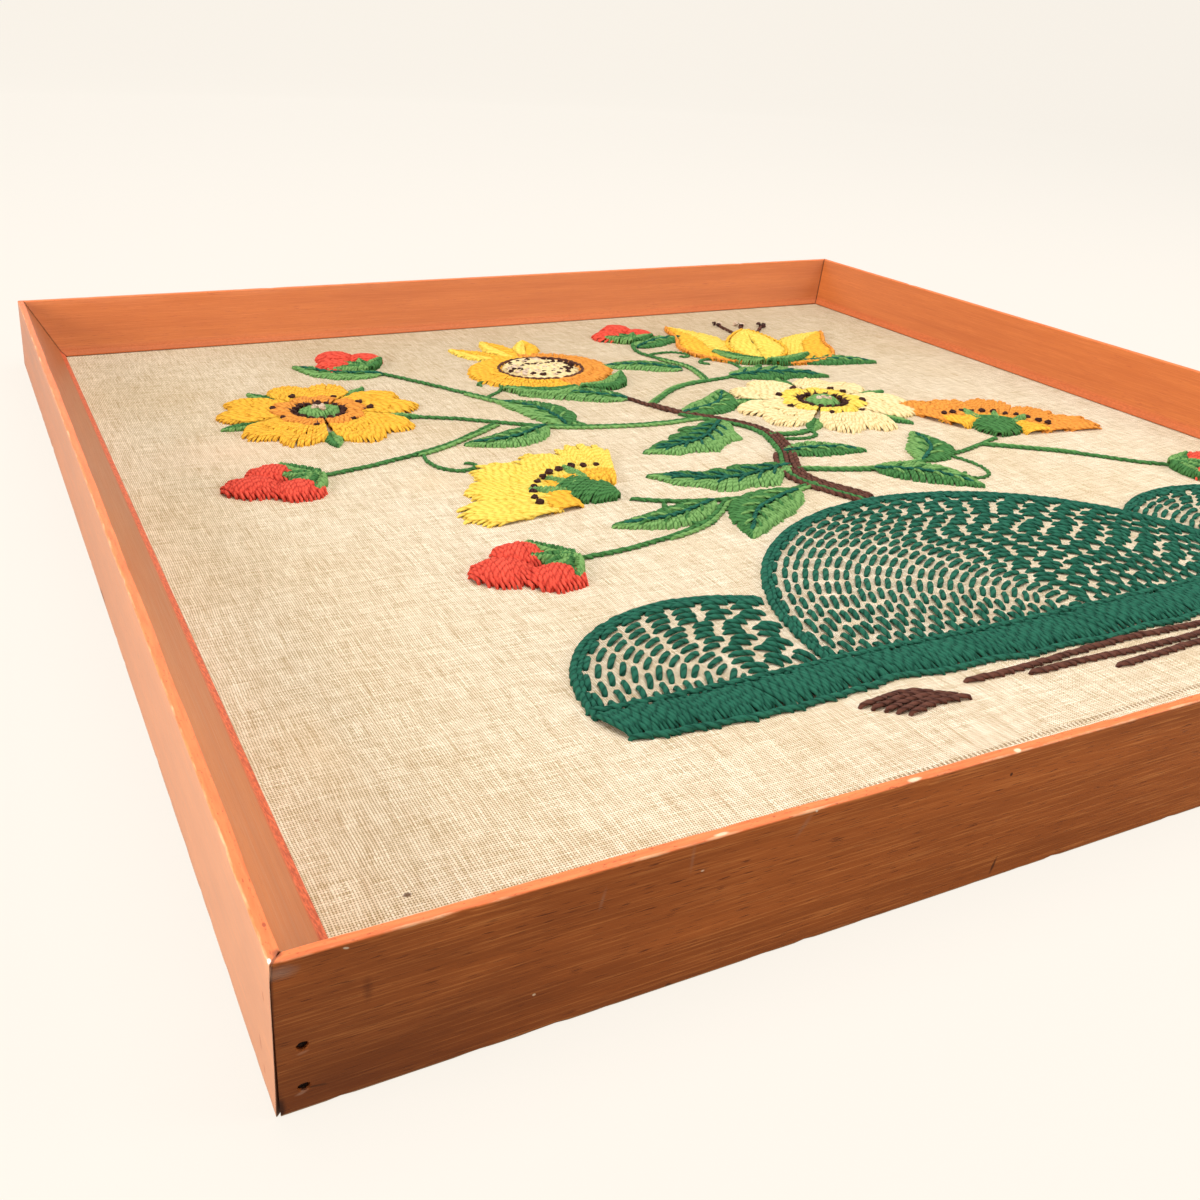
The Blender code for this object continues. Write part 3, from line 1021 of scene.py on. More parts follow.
wools = {
    "cream": ((0.96, 0.82, 0.48), (0.80, 0.58, 0.26)),
    "lemon": ((0.98, 0.76, 0.15), (0.80, 0.53, 0.06)),
    "gold": ((0.97, 0.56, 0.06), (0.74, 0.35, 0.03)),
    "orange": ((0.88, 0.37, 0.065), (0.64, 0.22, 0.035)),
    "coral": ((0.86, 0.110, 0.068), (0.58, 0.045, 0.030)),
    "leaf_green": ((0.215, 0.42, 0.135), (0.095, 0.240, 0.065)),
    "moss_green": ((0.075, 0.235, 0.070), (0.028, 0.115, 0.030)),
    "dark_green": ((0.022, 0.150, 0.096), (0.006, 0.062, 0.042)),
    "brown": ((0.150, 0.060, 0.042), (0.055, 0.021, 0.016)),
    "dark_brown": ((0.075, 0.030, 0.024), (0.024, 0.010, 0.009)),
    "bone": ((0.80, 0.64, 0.50), (0.46, 0.30, 0.20)),
}
wool_names = list(wools)
wool_materials = [wool_material("wool_" + wool, *tints) for wool, tints in wools.items()]


def tube_mesh(paths, widths, phases, tones, wool_ids, sides, flatness):
    """Two-ply yarn along many paths of equal point count: vertices, faces and their attributes."""
    total, rings, _ = paths.shape
    steps = np.diff(paths, axis=1)
    lengths = np.concatenate(
        (np.zeros((total, 1)), np.cumsum(np.linalg.norm(steps, axis=2), axis=1)), axis=1
    )
    tangents = np.gradient(paths, axis=1)
    tangents /= np.maximum(np.linalg.norm(tangents, axis=2, keepdims=True), 1e-9)
    flat = np.where(
        np.linalg.norm(tangents[..., :2], axis=2, keepdims=True) > 1e-6, tangents[..., :2], [1.0, 0.0]
    )
    flat /= np.linalg.norm(flat, axis=2, keepdims=True)
    side = np.stack((-flat[..., 1], flat[..., 0], np.zeros((total, rings))), -1)
    above = np.cross(tangents, side)
    around = (np.arange(sides) + 0.5) * math.tau / sides
    radius = widths[:, :, None] / 2
    points = (
        paths[:, :, None, :]
        - side[:, :, None, :] * (radius * np.sin(around))[..., None]
        - above[:, :, None, :] * (radius * np.cos(around) * flatness)[..., None]
    )
    along_yarn = np.broadcast_to((lengths + phases[:, None])[:, :, None], (total, rings, sides))
    yarn = np.stack(
        (along_yarn, np.broadcast_to(around, (total, rings, sides)), np.zeros((total, rings, sides))), -1
    )
    first = (np.arange(total) * rings * sides)[:, None, None]
    ring = np.arange(rings - 1)[None, :, None] * sides
    here = np.arange(sides)[None, None, :]
    ahead = (here + 1) % sides
    quads = np.stack(
        (
            first + ring + here,
            first + ring + ahead,
            first + ring + sides + ahead,
            first + ring + sides + here,
        ),
        -1,
    )
    starts = first[:, :, 0] + np.arange(sides)[None, ::-1]
    ends = first[:, :, 0] + (rings - 1) * sides + np.arange(sides)[None, :]
    return {
        "points": points.reshape(-1, 3),
        "faces": quads.reshape(-1, 4).tolist() + starts.tolist() + ends.tolist(),
        "wool": np.concatenate((np.repeat(wool_ids, (rings - 1) * sides), wool_ids, wool_ids)),
        "yarn": yarn.reshape(-1, 3),
        "tone": np.repeat(tones, rings * sides),
    }


def curve_through(points, count=60):
    """A smooth curve through a few points, evenly divided."""
    points = np.asarray(points, float)
    ends = np.vstack((2 * points[0] - points[1], points, 2 * points[-1] - points[-2]))
    fine = []
    for index in range(1, len(ends) - 2):
        before, start, end, after = ends[index - 1 : index + 3]
        share = np.linspace(0, 1, 16, endpoint=False)[:, None]
        fine.append(
            0.5
            * (
                2 * start
                + (end - before) * share
                + (2 * before - 5 * start + 4 * end - after) * share**2
                + (3 * start - before - 3 * end + after) * share**3
            )
        )
    fine = np.vstack((*fine, points[-1:]))
    return along(fine, np.linspace(0, 1, count))


def along(curve, shares):
    """Points on a curve at these shares of its length."""
    length = np.concatenate(([0.0], np.cumsum(np.linalg.norm(np.diff(curve, axis=0), axis=1))))
    wanted = np.asarray(shares) * length[-1]
    return np.stack([np.interp(wanted, length, curve[:, axis]) for axis in (0, 1)], -1)


def curve_length(curve):
    return float(np.linalg.norm(np.diff(curve, axis=0), axis=1).sum())


def beside(curve, distance):
    """The curve moved sideways, to its left where distance is positive."""
    ahead = np.gradient(curve, axis=0)
    ahead /= np.linalg.norm(ahead, axis=1, keepdims=True)
    return curve + np.stack((-ahead[:, 1], ahead[:, 0]), -1) * np.asarray(distance).reshape(-1, 1)


class Needlework:
    """The stitches of one motif, in the order in which they are worked."""

    def __init__(self, name, centre=(0.0, 0.0), lean=0.0):
        self.name = name
        self.centre = np.array(centre, float)
        self.lean = math.radians(lean)
        self.runs = []
        self.knots = []

    def placed(self, points):
        """Points of the motif's own drawing, turned by its lean and moved to its centre."""
        points = np.asarray(points, float)
        cosine, sine = math.cos(self.lean), math.sin(self.lean)
        return points @ np.array(((cosine, sine), (-sine, cosine))) + self.centre

    def lay(self, starts, ends, wool, lift=0.0, width=yarn_width):
        """Straight stitches from starts to ends; lift raises them over what lies beneath."""
        starts, ends = self.placed(starts), self.placed(ends)
        lifts = np.broadcast_to(lift, len(starts))
        widths = np.broadcast_to(width, len(starts))
        for start, end, raised, wide in zip(starts, ends, lifts, widths):
            self.runs.append((*start, *end, raised, wide, wool_names.index(wool)))

    def satin(self, edge_a, edge_b, wool, pitch=0.0019, lift=0.0, ragged=0.04, width=yarn_width):
        """Stitches side by side from one edge to the other."""
        longer = max(curve_length(edge_a), curve_length(edge_b))
        count = max(2, round(longer / pitch))
        shares = (np.arange(count) + 0.5 + draws.uniform(-0.18, 0.18, count)) / count
        starts, ends = along(edge_a, shares), along(edge_b, shares)
        reach = ends - starts
        starts = starts + reach * draws.uniform(-ragged, ragged * 0.5, (count, 1))
        ends = ends + reach * draws.uniform(-ragged, ragged, (count, 1))
        self.lay(starts, ends, wool, lift + draws.uniform(0, 0.0004, count), width)

    def long_and_short(self, edge_a, edge_b, wools_in_rows, pitch=0.0020, lift=0.0, ragged=0.07):
        """Rows of satin stitch that bite into each other, worked from edge_b in towards edge_a."""
        rows = len(wools_in_rows)
        for row in reversed(range(rows)):
            low = max(0.0, (row - 0.28) / rows)
            high = (row + 1) / rows
            inner = edge_a + (edge_b - edge_a) * low
            outer = edge_a + (edge_b - edge_a) * high
            self.satin(inner, outer, wools_in_rows[row], pitch, lift + 0.0006 * (rows - 1 - row), ragged)

    def stem(self, curve, wool, stitch=0.0080, advance=0.0047, width=yarn_width, lift=0.0):
        """Stem stitch: overlapping slanted stitches that make a rope along the curve."""
        length = curve_length(curve)
        count = max(1, round((length - stitch) / advance) + 1)
        begins = np.linspace(0, max(0.0, length - stitch), count) / length
        finishes = np.minimum(begins + stitch / length, 1.0)
        left, right = beside(curve, width * 0.26), beside(curve, -width * 0.26)
        jitter = draws.uniform(-0.0003, 0.0003, (count, 2))
        self.lay(along(left, begins) + jitter, along(right, finishes) + jitter, wool, lift, width)

    def running(self, curve, wool, stitch=0.0092, space=0.0031, offset=0.0, keep=None):
        """Running stitch along the curve, with the cloth showing between the stitches."""
        length = curve_length(curve)
        place = -offset
        while place < length:
            stitch_here = stitch * draws.uniform(0.85, 1.15)
            start, end = max(place, 0.0), min(place + stitch_here, length)
            place += stitch_here + space * draws.uniform(0.8, 1.25)
            if end - start < 0.0035:
                continue
            pair = along(curve, (start / length, end / length)) + draws.uniform(-0.0003, 0.0003, (2, 2))
            if keep is None or keep(pair.mean(0)):
                self.lay(pair[:1], pair[1:], wool, 0.0, 0.0025)

    def knot_row(self, points, wool, lift=0.0006):
        """French knots at these points."""
        for point in self.placed(points):
            point = point + draws.uniform(-0.0004, 0.0004, 2)
            raised = lift + draws.uniform(0, 0.0007)
            self.knots.append((*point, raised, draws.uniform(0.85, 1.2), wool_names.index(wool)))

    def knot_bed(self, reach_x, reach_y, wools_used, spacing=0.0034, lift=0.0006, middle=(0.0, 0.0)):
        """French knots, close together over an oval."""
        count = int(reach_x * reach_y * math.pi / spacing**2)
        for index in range(count):
            out = math.sqrt((index + 0.5) / count)
            angle = index * golden_angle
            point = (
                middle[0] + reach_x * out * math.cos(angle), middle[1] + reach_y * out * math.sin(angle)
            )
            self.knot_row([point], wools_used[int(draws.integers(len(wools_used)))], lift)

    def run_paths(self, runs, rings):
        share = (0.5 - 0.5 * np.cos(np.linspace(0, math.pi, rings)))[None, :]
        bow = draws.uniform(-0.018, 0.018, (len(runs), 1)) * np.sin(share * math.pi)
        delta = runs[:, 2:4] - runs[:, 0:2]
        x = runs[:, 0:1] + delta[:, 0:1] * share - delta[:, 1:2] * bow
        y = runs[:, 1:2] + delta[:, 1:2] * share + delta[:, 0:1] * bow
        ends = np.abs(2 * share - 1)
        rise = np.maximum(1 - ends**4, 0.0) ** 0.6
        length = np.linalg.norm(delta, axis=1, keepdims=True)
        arch = runs[:, 4:5] + runs[:, 5:6] * 0.36 + 0.035 * length
        z = cloth_top + cloth_rise(x, y) - 0.0009 + (arch + 0.0009) * rise
        widths = runs[:, 5:6] * (0.70 + 0.30 * (1 - ends**3))
        return np.stack((x, y, z), -1), widths

    def knot_paths(self, knots):
        rings = 10
        turn = np.linspace(0, 1.55 * math.tau, rings)[None, :] + draws.uniform(0, math.tau, (len(knots), 1))
        size = knots[:, 3:4]
        spread = size * np.linspace(0.00135, 0.00095, rings)[None, :]
        x = knots[:, 0:1] + spread * np.cos(turn)
        y = knots[:, 1:2] + spread * np.sin(turn)
        climb = np.linspace(0.0003, 0.0016, rings)[None, :]
        z = cloth_top + cloth_rise(x, y) + knots[:, 2:3] + climb * size
        z[:, 0] -= 0.0012
        z[:, -1] -= 0.0009
        widths = np.broadcast_to(size * 0.0018, z.shape)
        return np.stack((x, y, z), -1), widths

    def back_paths(self, runs):
        """On the reverse the yarn runs from each stitch's end to the next one's start."""
        starts, ends = runs[:-1, 2:4], runs[1:, 0:2]
        short = np.linalg.norm(ends - starts, axis=1)
        kept = (short < 0.030) & (short > 0.0015)
        starts, ends = starts[kept], ends[kept]
        share = np.array((0.0, 0.3, 0.7, 1.0))[None, :]
        x = starts[:, 0:1] + (ends - starts)[:, 0:1] * share
        y = starts[:, 1:2] + (ends - starts)[:, 1:2] * share
        drop = np.array((0.0, 1.0, 1.0, 0.0))[None, :] * draws.uniform(0.0007, 0.0013, (len(starts), 1))
        z = cloth_top + cloth_rise(x, y) - sheet_thickness + 0.0003 - drop
        widths = np.broadcast_to(0.0019, z.shape)
        return np.stack((x, y, z), -1), widths, runs[:-1, 6][kept]

    def finish(self):
        """Make the motif's mesh: runs, knots and the yarn on the reverse of the cloth."""
        runs = np.array(self.runs, float)
        parts = []
        is_short = np.linalg.norm(runs[:, 2:4] - runs[:, 0:2], axis=1) < short_run
        for chosen, rings in ((is_short, 5), (~is_short, 8)):
            if chosen.any():
                paths, widths = self.run_paths(runs[chosen], rings)
                parts.append((paths, widths, runs[chosen, 6], run_sides, yarn_flatness))
        paths, widths, wool_ids = self.back_paths(runs)
        parts.append((paths, widths, wool_ids, 3, 0.7))
        if self.knots:
            knots = np.array(self.knots, float)
            paths, widths = self.knot_paths(knots)
            parts.append((paths, widths, knots[:, 4], run_sides, 0.9))
        points, faces, wool_of_face, yarn, tone = [], [], [], [], []
        first = 0
        for paths, widths, wool_ids, sides, flatness in parts:
            total = len(paths)
            made = tube_mesh(
                paths,
                widths,
                draws.uniform(0, math.tau, total),
                draws.uniform(-1, 1, total),
                wool_ids.astype(int),
                sides,
                flatness,
            )
            faces += [[corner + first for corner in face] for face in made["faces"]]
            first += len(made["points"])
            points.append(made["points"])
            wool_of_face.append(made["wool"])
            yarn.append(made["yarn"])
            tone.append(made["tone"])
        mesh = bpy.data.meshes.new(self.name)
        mesh.from_pydata(np.vstack(points).tolist(), [], faces)
        wool_of_face = np.concatenate(wool_of_face)
        used = sorted(set(wool_of_face.tolist()))
        for wool_id in used:
            mesh.materials.append(wool_materials[wool_id])
        mesh.polygons.foreach_set("material_index", np.searchsorted(used, wool_of_face).astype(np.int32))
        for attribute, kind, field, values in (
            ("yarn", "FLOAT_VECTOR", "vector", np.vstack(yarn)),
            ("tone", "FLOAT", "value", np.concatenate(tone)),
        ):
            data = mesh.attributes.new(attribute, kind, "POINT").data
            data.foreach_set(field, values.astype(np.float32).ravel())
        mesh.shade_smooth()
        piece = new_piece(self.name, mesh)
        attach(piece, "root")
        return piece


# ---------------------------------------------------------------------------------------------
# Hillocks: the rounded ground from which the tree grows, in dark green wool. Rows of running
# stitch follow each hill with the linen showing between, inside a stem-stitched outline; a band
# of slanted satin stitch is the turf along the foot.
row_pitch = 0.0041
turf_depth = 0.0165


def hill_curve(half_width, height, scale=1.0, low=0.0, high=180.0, count=90):
    angle = np.radians(np.linspace(high, low, count))
    return np.stack((half_width * scale * np.cos(angle), height * scale * np.sin(angle) ** 0.92), -1)


def work_hillock(name, centre, half_width, height, in_front=()):
    """in_front gives the (centre, half width, height) of hills that hide part of this one."""

    def keep(point):
        x, y = point + np.array(centre)
        return all(
            ((x - other[0]) / (wide + 0.004)) ** 2 + (max(y - other[1], 0.0) / (tall + 0.004)) ** 2 > 1
            for other, wide, tall in in_front
        )

    work = Needlework(name, centre)
    rows = int(height / row_pitch)
    for row in range(1, rows):
        scale = 1 - row * row_pitch / height
        hill = hill_curve(half_width - row * row_pitch, height, 1.0)
        hill[:, 1] *= scale
        work.running(hill, "dark_green", offset=0.0068 * (row % 2) + draws.uniform(0, 0.002), keep=keep)
    outline = hill_curve(half_width, height)
    outline = np.array([point for point in outline if keep(point)])
    work.stem(outline, "dark_green", width=0.0025)
    work.stem(beside(outline, -0.0021), "dark_green", width=0.0022)
    return work


front_hill = ((0.040, -0.2130), 0.122, 0.128)
left_hill = ((-0.112, -0.2130), 0.064, 0.066)
right_hill = ((0.190, -0.2130), 0.078, 0.088)
for name, (centre, half, tall), others in (
    ("hillock_front", front_hill, ()),
    ("hillock_left", left_hill, (front_hill,)),
    ("hillock_right", right_hill, (front_hill,)),
):
    work_hillock(name, centre, half, tall, others).finish()

turf = Needlework("hillock_turf")
for low_x, high_x, sag in ((-0.178, -0.074, 0.004), (-0.080, 0.160, 0.006), (0.154, 0.268, 0.004)):
    share = np.linspace(0, 1, 50)
    x = low_x + (high_x - low_x) * share
    dip = sag * np.sin(share * math.pi)
    upper = np.stack((x, -0.2100 - 0.4 * dip), -1)
    lower = np.stack((x + 0.006, -0.2100 - turf_depth - dip + 0.0010 * np.sin(share * 40)), -1)
    turf.satin(upper, lower, "dark_green", pitch=0.0018, ragged=0.09, lift=0.0004)
    turf.stem(lower + np.array((0.0, -0.0012)), "dark_green", width=0.0025)
    turf.stem(upper + np.array((0.0, 0.0010)), "dark_green", width=0.0023, lift=0.0006)
turf.finish()

# Earth lines: brown stem stitch in loose rows under the turf, of unequal lengths, with a packed clod.
earth = Needlework("earth_lines")
for row, (start, end) in enumerate(((-0.046, 0.236), (-0.020, 0.196), (0.014, 0.262), (0.060, 0.214))):
    across = np.linspace(start, end, 60)
    height = -0.2385 - 0.0062 * row + 0.0011 * np.sin(across * 55 + row * 2.0)
    earth.stem(np.stack((across, height), -1), "brown", width=0.0025)
clod = np.array(((-0.092, -0.2400), (-0.078, -0.2372), (-0.064, -0.2386)))
for row in range(5):
    earth.stem(curve_through(clod + np.array((0.0032, -0.0024)) * row, 20), "brown", lift=0.0004)
earth.finish()


# ---------------------------------------------------------------------------------------------
# Trunk and branches: one winding trunk in brown stem stitch, several rows wide at its foot, with
# green stem-stitched branches, and tendrils that curl from them.
trunk_line = curve_through(
    (
        (0.036, -0.0840),
        (0.022, -0.0450),
        (0.040, -0.0050),
        (0.046, 0.0300),
        (0.018, 0.0720),
        (0.004, 0.1080),
        (-0.010, 0.1320),
    )
)
trunk = Needlework("trunk")
for offset, share_to, wool in (
    (-0.0050, 0.45, "brown"),
    (-0.0026, 0.80, "brown"),
    (0.0, 1.0, "brown"),
    (0.0026, 0.70, "moss_green"),
    (0.0052, 0.34, "brown"),
):
    trunk.stem(along(beside(trunk_line, offset), np.linspace(0, share_to, 60)), wool, width=0.0025)
trunk.finish()

branches = Needlework("branches")
branch_lines = {
    "to_lemon_fan": ((0.027, -0.0560), (-0.010, -0.0620), (-0.046, -0.0560), (-0.072, -0.0430)),
    "to_gold_rose": (
        (0.030, 0.0560), (-0.010, 0.0560), (-0.060, 0.0700), (-0.104, 0.1000), (-0.128, 0.1120)
    ),
    "to_tulip": ((0.012, 0.0860), (0.050, 0.1160), (0.094, 0.1260), (0.128, 0.1440)),
    "to_cream_rose": ((0.045, 0.0160), (0.066, 0.0120), (0.084, 0.0220)),
    "to_orange_fan": ((0.026, -0.0360), (0.070, -0.0500), (0.124, -0.0440), (0.168, -0.0300)),
    "to_left_berries": ((-0.086, 0.0840), (-0.126, 0.0580), (-0.166, 0.0430), (-0.196, 0.0360)),
    "to_top_berries": ((0.074, 0.1220), (0.080, 0.1560), (0.066, 0.1960), (0.074, 0.2220)),
    "to_low_berries": ((-0.030, -0.0600), (-0.056, -0.0820), (-0.098, -0.0940), (-0.126, -0.0960)),
    "to_right_berries": ((0.150, -0.0360), (0.186, -0.0620), (0.212, -0.0880), (0.226, -0.0980)),
    "to_far_berries": ((-0.040, 0.0620), (-0.060, 0.1080), (-0.098, 0.1760), (-0.118, 0.2080)),
}
for points in branch_lines.values():
    line = curve_through(points)
    branches.stem(line, "moss_green", width=0.0023)
    branches.stem(along(beside(line, 0.0022), np.linspace(0, 0.55, 40)), "leaf_green", width=0.0021)


def tendril(work, foot, reach, lean, hand=1, wool="moss_green"):
    """A curl that leaves its foot along lean and winds up; hand 1 winds to the left."""
    share = np.linspace(0, 1, 46)
    heading = math.radians(lean) + hand * (0.2 + 5.2 * share**1.9)
    step = np.stack((np.cos(heading), np.sin(heading)), -1) * reach / 46 * (1.15 - 0.75 * share)[:, None]
    work.stem(np.cumsum(step, axis=0) + np.array(foot), wool, stitch=0.0055, advance=0.0034, width=0.0019)


for foot, reach, lean, hand in (
    ((-0.058, -0.0500), 0.070, 235, 1),
    ((-0.140, 0.0520), 0.075, 250, 1),
    ((0.108, 0.1320), 0.080, 60, 1),
    ((0.120, -0.0440), 0.075, 300, -1),
    ((0.068, 0.1900), 0.060, 30, -1),
    ((-0.072, 0.1320), 0.070, 20, 1),
    ((0.046, 0.0100), 0.060, 320, 1),
):
    tendril(branches, foot, reach, lean, hand)
branches.finish()


# ---------------------------------------------------------------------------------------------
# Leaves: each is two rows of slanted satin stitch, light green on one side of the vein and moss
# green on the other; the vein is a dark green line of stem stitch laid over the join.
leaf_greens = ("leaf_green", "moss_green")


def two_sided(work, spine, half_widths, wool_left, wool_right, slant=0.09, pitch=0.0019, lift=0.0):
    """A leaf-shaped form: satin stitch from its spine out to both edges."""
    for side, wool in ((1, wool_left), (-1, wool_right)):
        edge = beside(spine, side * np.asarray(half_widths))
        work.satin(
            along(spine, np.linspace(0, 1 - slant, 40)),
            along(edge, np.linspace(slant, 1, 40)),
            wool,
            pitch,
            lift,
            0.07,
        )


def work_blade(work, points, half_width, wools_used, lift, blunt=0.3, count=24):
    """A narrow pointed form through these points, blunt at its foot."""
    widths = half_width * np.sin(np.linspace(blunt, math.pi, count))
    two_sided(work, curve_through(points, count), widths, *wools_used, lift=lift)


def work_leaf(work, base, tip, half_width, bow=0.0, light="leaf_green", dark="moss_green", teeth=0):
    base, tip = np.array(base, float), np.array(tip, float)
    middle = (base + tip) / 2 + np.array((-(tip - base)[1], (tip - base)[0])) * bow
    spine = curve_through((base, middle, tip), 50)
    share = np.linspace(0, 1, 50)
    widths = half_width * np.sin(math.pi * share**0.80) ** 0.85
    if teeth:
        widths = widths * (1 + 0.16 * np.sin(share * math.tau * teeth))
    two_sided(work, spine, widths, light, dark)
    work.stem(along(spine, np.linspace(0, 0.90, 40)), "dark_green", lift=0.0012, width=0.0021)
    count = max(3, int(curve_length(spine) / 0.011))
    for index in range(1, count):
        root = along(spine, [index / count * 0.86])[0]
        for side in (1, -1):
            edge = beside(spine, side * widths * 0.62)
            rib = along(edge, [min(1.0, index / count * 0.86 + 0.13)])[0]
            work.lay([root], [rib], "dark_green" if teeth else light if side < 0 else dark, 0.0016, 0.0017)


leaves_low = Needlework("leaves_low")
for base, tip, half_width, bow, teeth in (
    ((0.010, -0.0620), (-0.044, -0.1040), 0.0150, -0.12, 0),
    ((0.028, -0.0300), (-0.050, -0.0180), 0.0150, 0.16, 4),
    ((0.066, -0.0490), (0.104, -0.0900), 0.0150, 0.14, 0),
    ((0.100, -0.0480), (0.128, -0.0050), 0.0130, -0.14, 0),
    ((0.036, -0.0120), (0.082, -0.0240), 0.0110, 0.10, 0),
    ((-0.036, -0.0590), (-0.096, -0.0700), 0.0110, 0.10, 0),
):
    work_leaf(leaves_low, base, tip, half_width, bow, teeth=teeth)
leaves_low.finish()

leaves_high = Needlework("leaves_high")
for base, tip, half_width, bow, teeth in (
    ((0.034, 0.0460), (-0.034, 0.0130), 0.0160, 0.14, 4),
    ((0.022, 0.0660), (0.070, 0.1020), 0.0125, -0.16, 0),
    ((-0.062, 0.0710), (-0.116, 0.0560), 0.0120, 0.12, 0),
    ((-0.050, 0.0680), (-0.070, 0.1240), 0.0140, -0.14, 0),
    ((0.006, 0.1020), (-0.052, 0.1300), 0.0140, -0.12, 0),
    ((0.092, 0.1260), (0.156, 0.1060), 0.0150, 0.14, 4),
    ((0.072, 0.1500), (0.022, 0.1720), 0.0110, -0.14, 0),
    ((-0.112, 0.1980), (-0.160, 0.2300), 0.0110, 0.12, 0),
    ((0.072, 0.2100), (0.122, 0.2260), 0.0110, 0.12, 0),
    ((0.158, 0.1420), (0.210, 0.1260), 0.0120, 0.12, 0),
):
    work_leaf(leaves_high, base, tip, half_width, bow, teeth=teeth)
leaves_high.finish()


# ---------------------------------------------------------------------------------------------
# Dog roses: five separate heart-shaped petals in long-and-short stitch, with green sepals between
# them. The eye is a green satin boss inside a ring of knots, and fine brown stamens stand round it.
def petal_edge(middle, half_angle, near, far):
    """Points at the given distances from the heart, over a sector about the angle middle."""
    angle = middle + np.linspace(-1, 1, len(far)) * half_angle
    distance = np.broadcast_to(near, len(far)) if near is not None else far
    return np.stack((distance * np.cos(angle), distance * np.sin(angle)), -1)


def work_dog_rose(name, centre, radius, wools_in_rows, lean, petals=5):
    work = Needlework(name, centre, lean)
    heart = radius * 0.25
    sector = math.tau / petals
    side = np.linspace(-1, 1, 40)
    for petal in range(petals):
        between = (petal + 0.5) * sector
        spine = np.outer(np.linspace(0.58, 0.98, 20) * radius, (math.cos(between), math.sin(between)))
        width = 0.0048 * np.sin(np.linspace(0.5, math.pi, 20))
        two_sided(work, spine, width, *leaf_greens)
    for petal in range(petals):
        size = radius * draws.uniform(0.95, 1.03)
        rim = size * (1 - 0.27 * np.abs(side) ** 3 - 0.15 * np.exp(-((side / 0.24) ** 2)))
        inner = petal_edge(petal * sector, sector * 0.46, heart, rim)
        outer = petal_edge(petal * sector, sector * 0.45, None, rim)
        work.long_and_short(inner, outer, wools_in_rows, ragged=0.08, lift=0.0008)
    stamens = 15
    angle = np.arange(stamens) * math.tau / stamens + draws.uniform(-0.08, 0.08, stamens)
    outwards = np.stack((np.cos(angle), np.sin(angle)), -1)
    reach = heart * draws.uniform(1.55, 1.95, (stamens, 1))
    work.lay(outwards * heart * 0.9, outwards * reach, "brown", 0.0026, 0.0013)
    work.knot_row(outwards[::2] * reach[::2], "dark_brown", 0.0024)
    boss = petal_edge(math.pi / 2, math.pi * 0.5, heart * 0.74, side)
    work.satin(
        boss * np.array((-1.0, 1.0)), boss * np.array((-1.0, -1.0)), "leaf_green", lift=0.0022, ragged=0.02
    )
    ring = np.arange(16) * math.tau / 16
    work.knot_row(np.stack((np.cos(ring), np.sin(ring)), -1) * heart * 0.92, "dark_brown", 0.0016)
    work.knot_bed(heart * 0.26, heart * 0.26, ("bone",), lift=0.0036)
    return work


work_dog_rose("rose_gold", (-0.170, 0.1320), 0.058, ("orange", "gold", "gold"), 12).finish()
work_dog_rose("rose_cream", (0.112, 0.0560), 0.058, ("lemon", "cream", "cream"), 48).finish()


# ---------------------------------------------------------------------------------------------
# Fan flowers: side views of pinks, drawn as an open fan of fringed petals above a green cup, with
# a row of knots where the petals leave the cup.
def work_fan(name, foot, lean, radius, spread, wools_in_rows, petals=5):
    work = Needlework(name, foot, lean - 90)
    side = np.linspace(-1, 1, 30)
    half = math.radians(spread) / petals
    for petal in range(petals):
        middle = math.radians(90) + (petal - (petals - 1) / 2) * 2 * half
        angle = middle - side * half * 0.97
        size = radius * (1.0 if petal % 2 == 0 else 0.93)
        far = size * (1 - 0.10 * side**2 + 0.030 * np.sin(side * 14))
        near = np.full(30, radius * 0.27)
        inner = np.stack((near * np.cos(angle), near * np.sin(angle)), -1)
        outer = np.stack((far * np.cos(angle), far * np.sin(angle)), -1)
        work.long_and_short(inner, outer, wools_in_rows, ragged=0.12, lift=0.0004 * (petal % 2))
    cup = radius * 0.40
    left = curve_through(((-0.0015, 0.0), (-cup * 0.42, cup * 0.35), (-cup * 0.50, cup * 0.95)), 30)
    right = left * np.array((-1.0, 1.0))
    work.satin(left, right, "moss_green", pitch=0.0018, lift=0.0020, ragged=0.05)
    for tooth in (-0.32, 0.0, 0.32):
        tip = np.array((tooth * cup * 1.9, cup * 1.28))
        base = np.array((tooth * cup, cup * 0.72))
        work_blade(
            work, (base, (base + tip) / 2, tip), 0.0028, ("leaf_green", "leaf_green"), 0.0030, count=20
        )
    angle = np.radians(90 + np.linspace(-0.8, 0.8, 11) * spread)
    work.knot_row(np.stack((np.cos(angle), np.sin(angle)), -1) * radius * 0.53, "dark_brown", 0.0024)
    return work


work_fan("fan_lemon", (-0.076, -0.0400), 128, 0.076, 62, ("gold", "lemon", "lemon")).finish()
work_fan("fan_orange", (0.172, -0.0280), 52, 0.074, 60, ("gold", "orange", "orange")).finish()


# ---------------------------------------------------------------------------------------------
# Pomegranate: the large fruit at the head of the tree. Its rind is slanted satin stitch in gold
# and orange, its seeds are knots on a cream ground, and a crown of pointed petals opens on top.
def oval(half_x, half_y, middle_y, count=80, start=-90.0, sweep=360.0):
    angle = np.radians(np.linspace(start, start + sweep, count))
    return np.stack((half_x * np.cos(angle), middle_y + half_y * np.sin(angle)), -1)


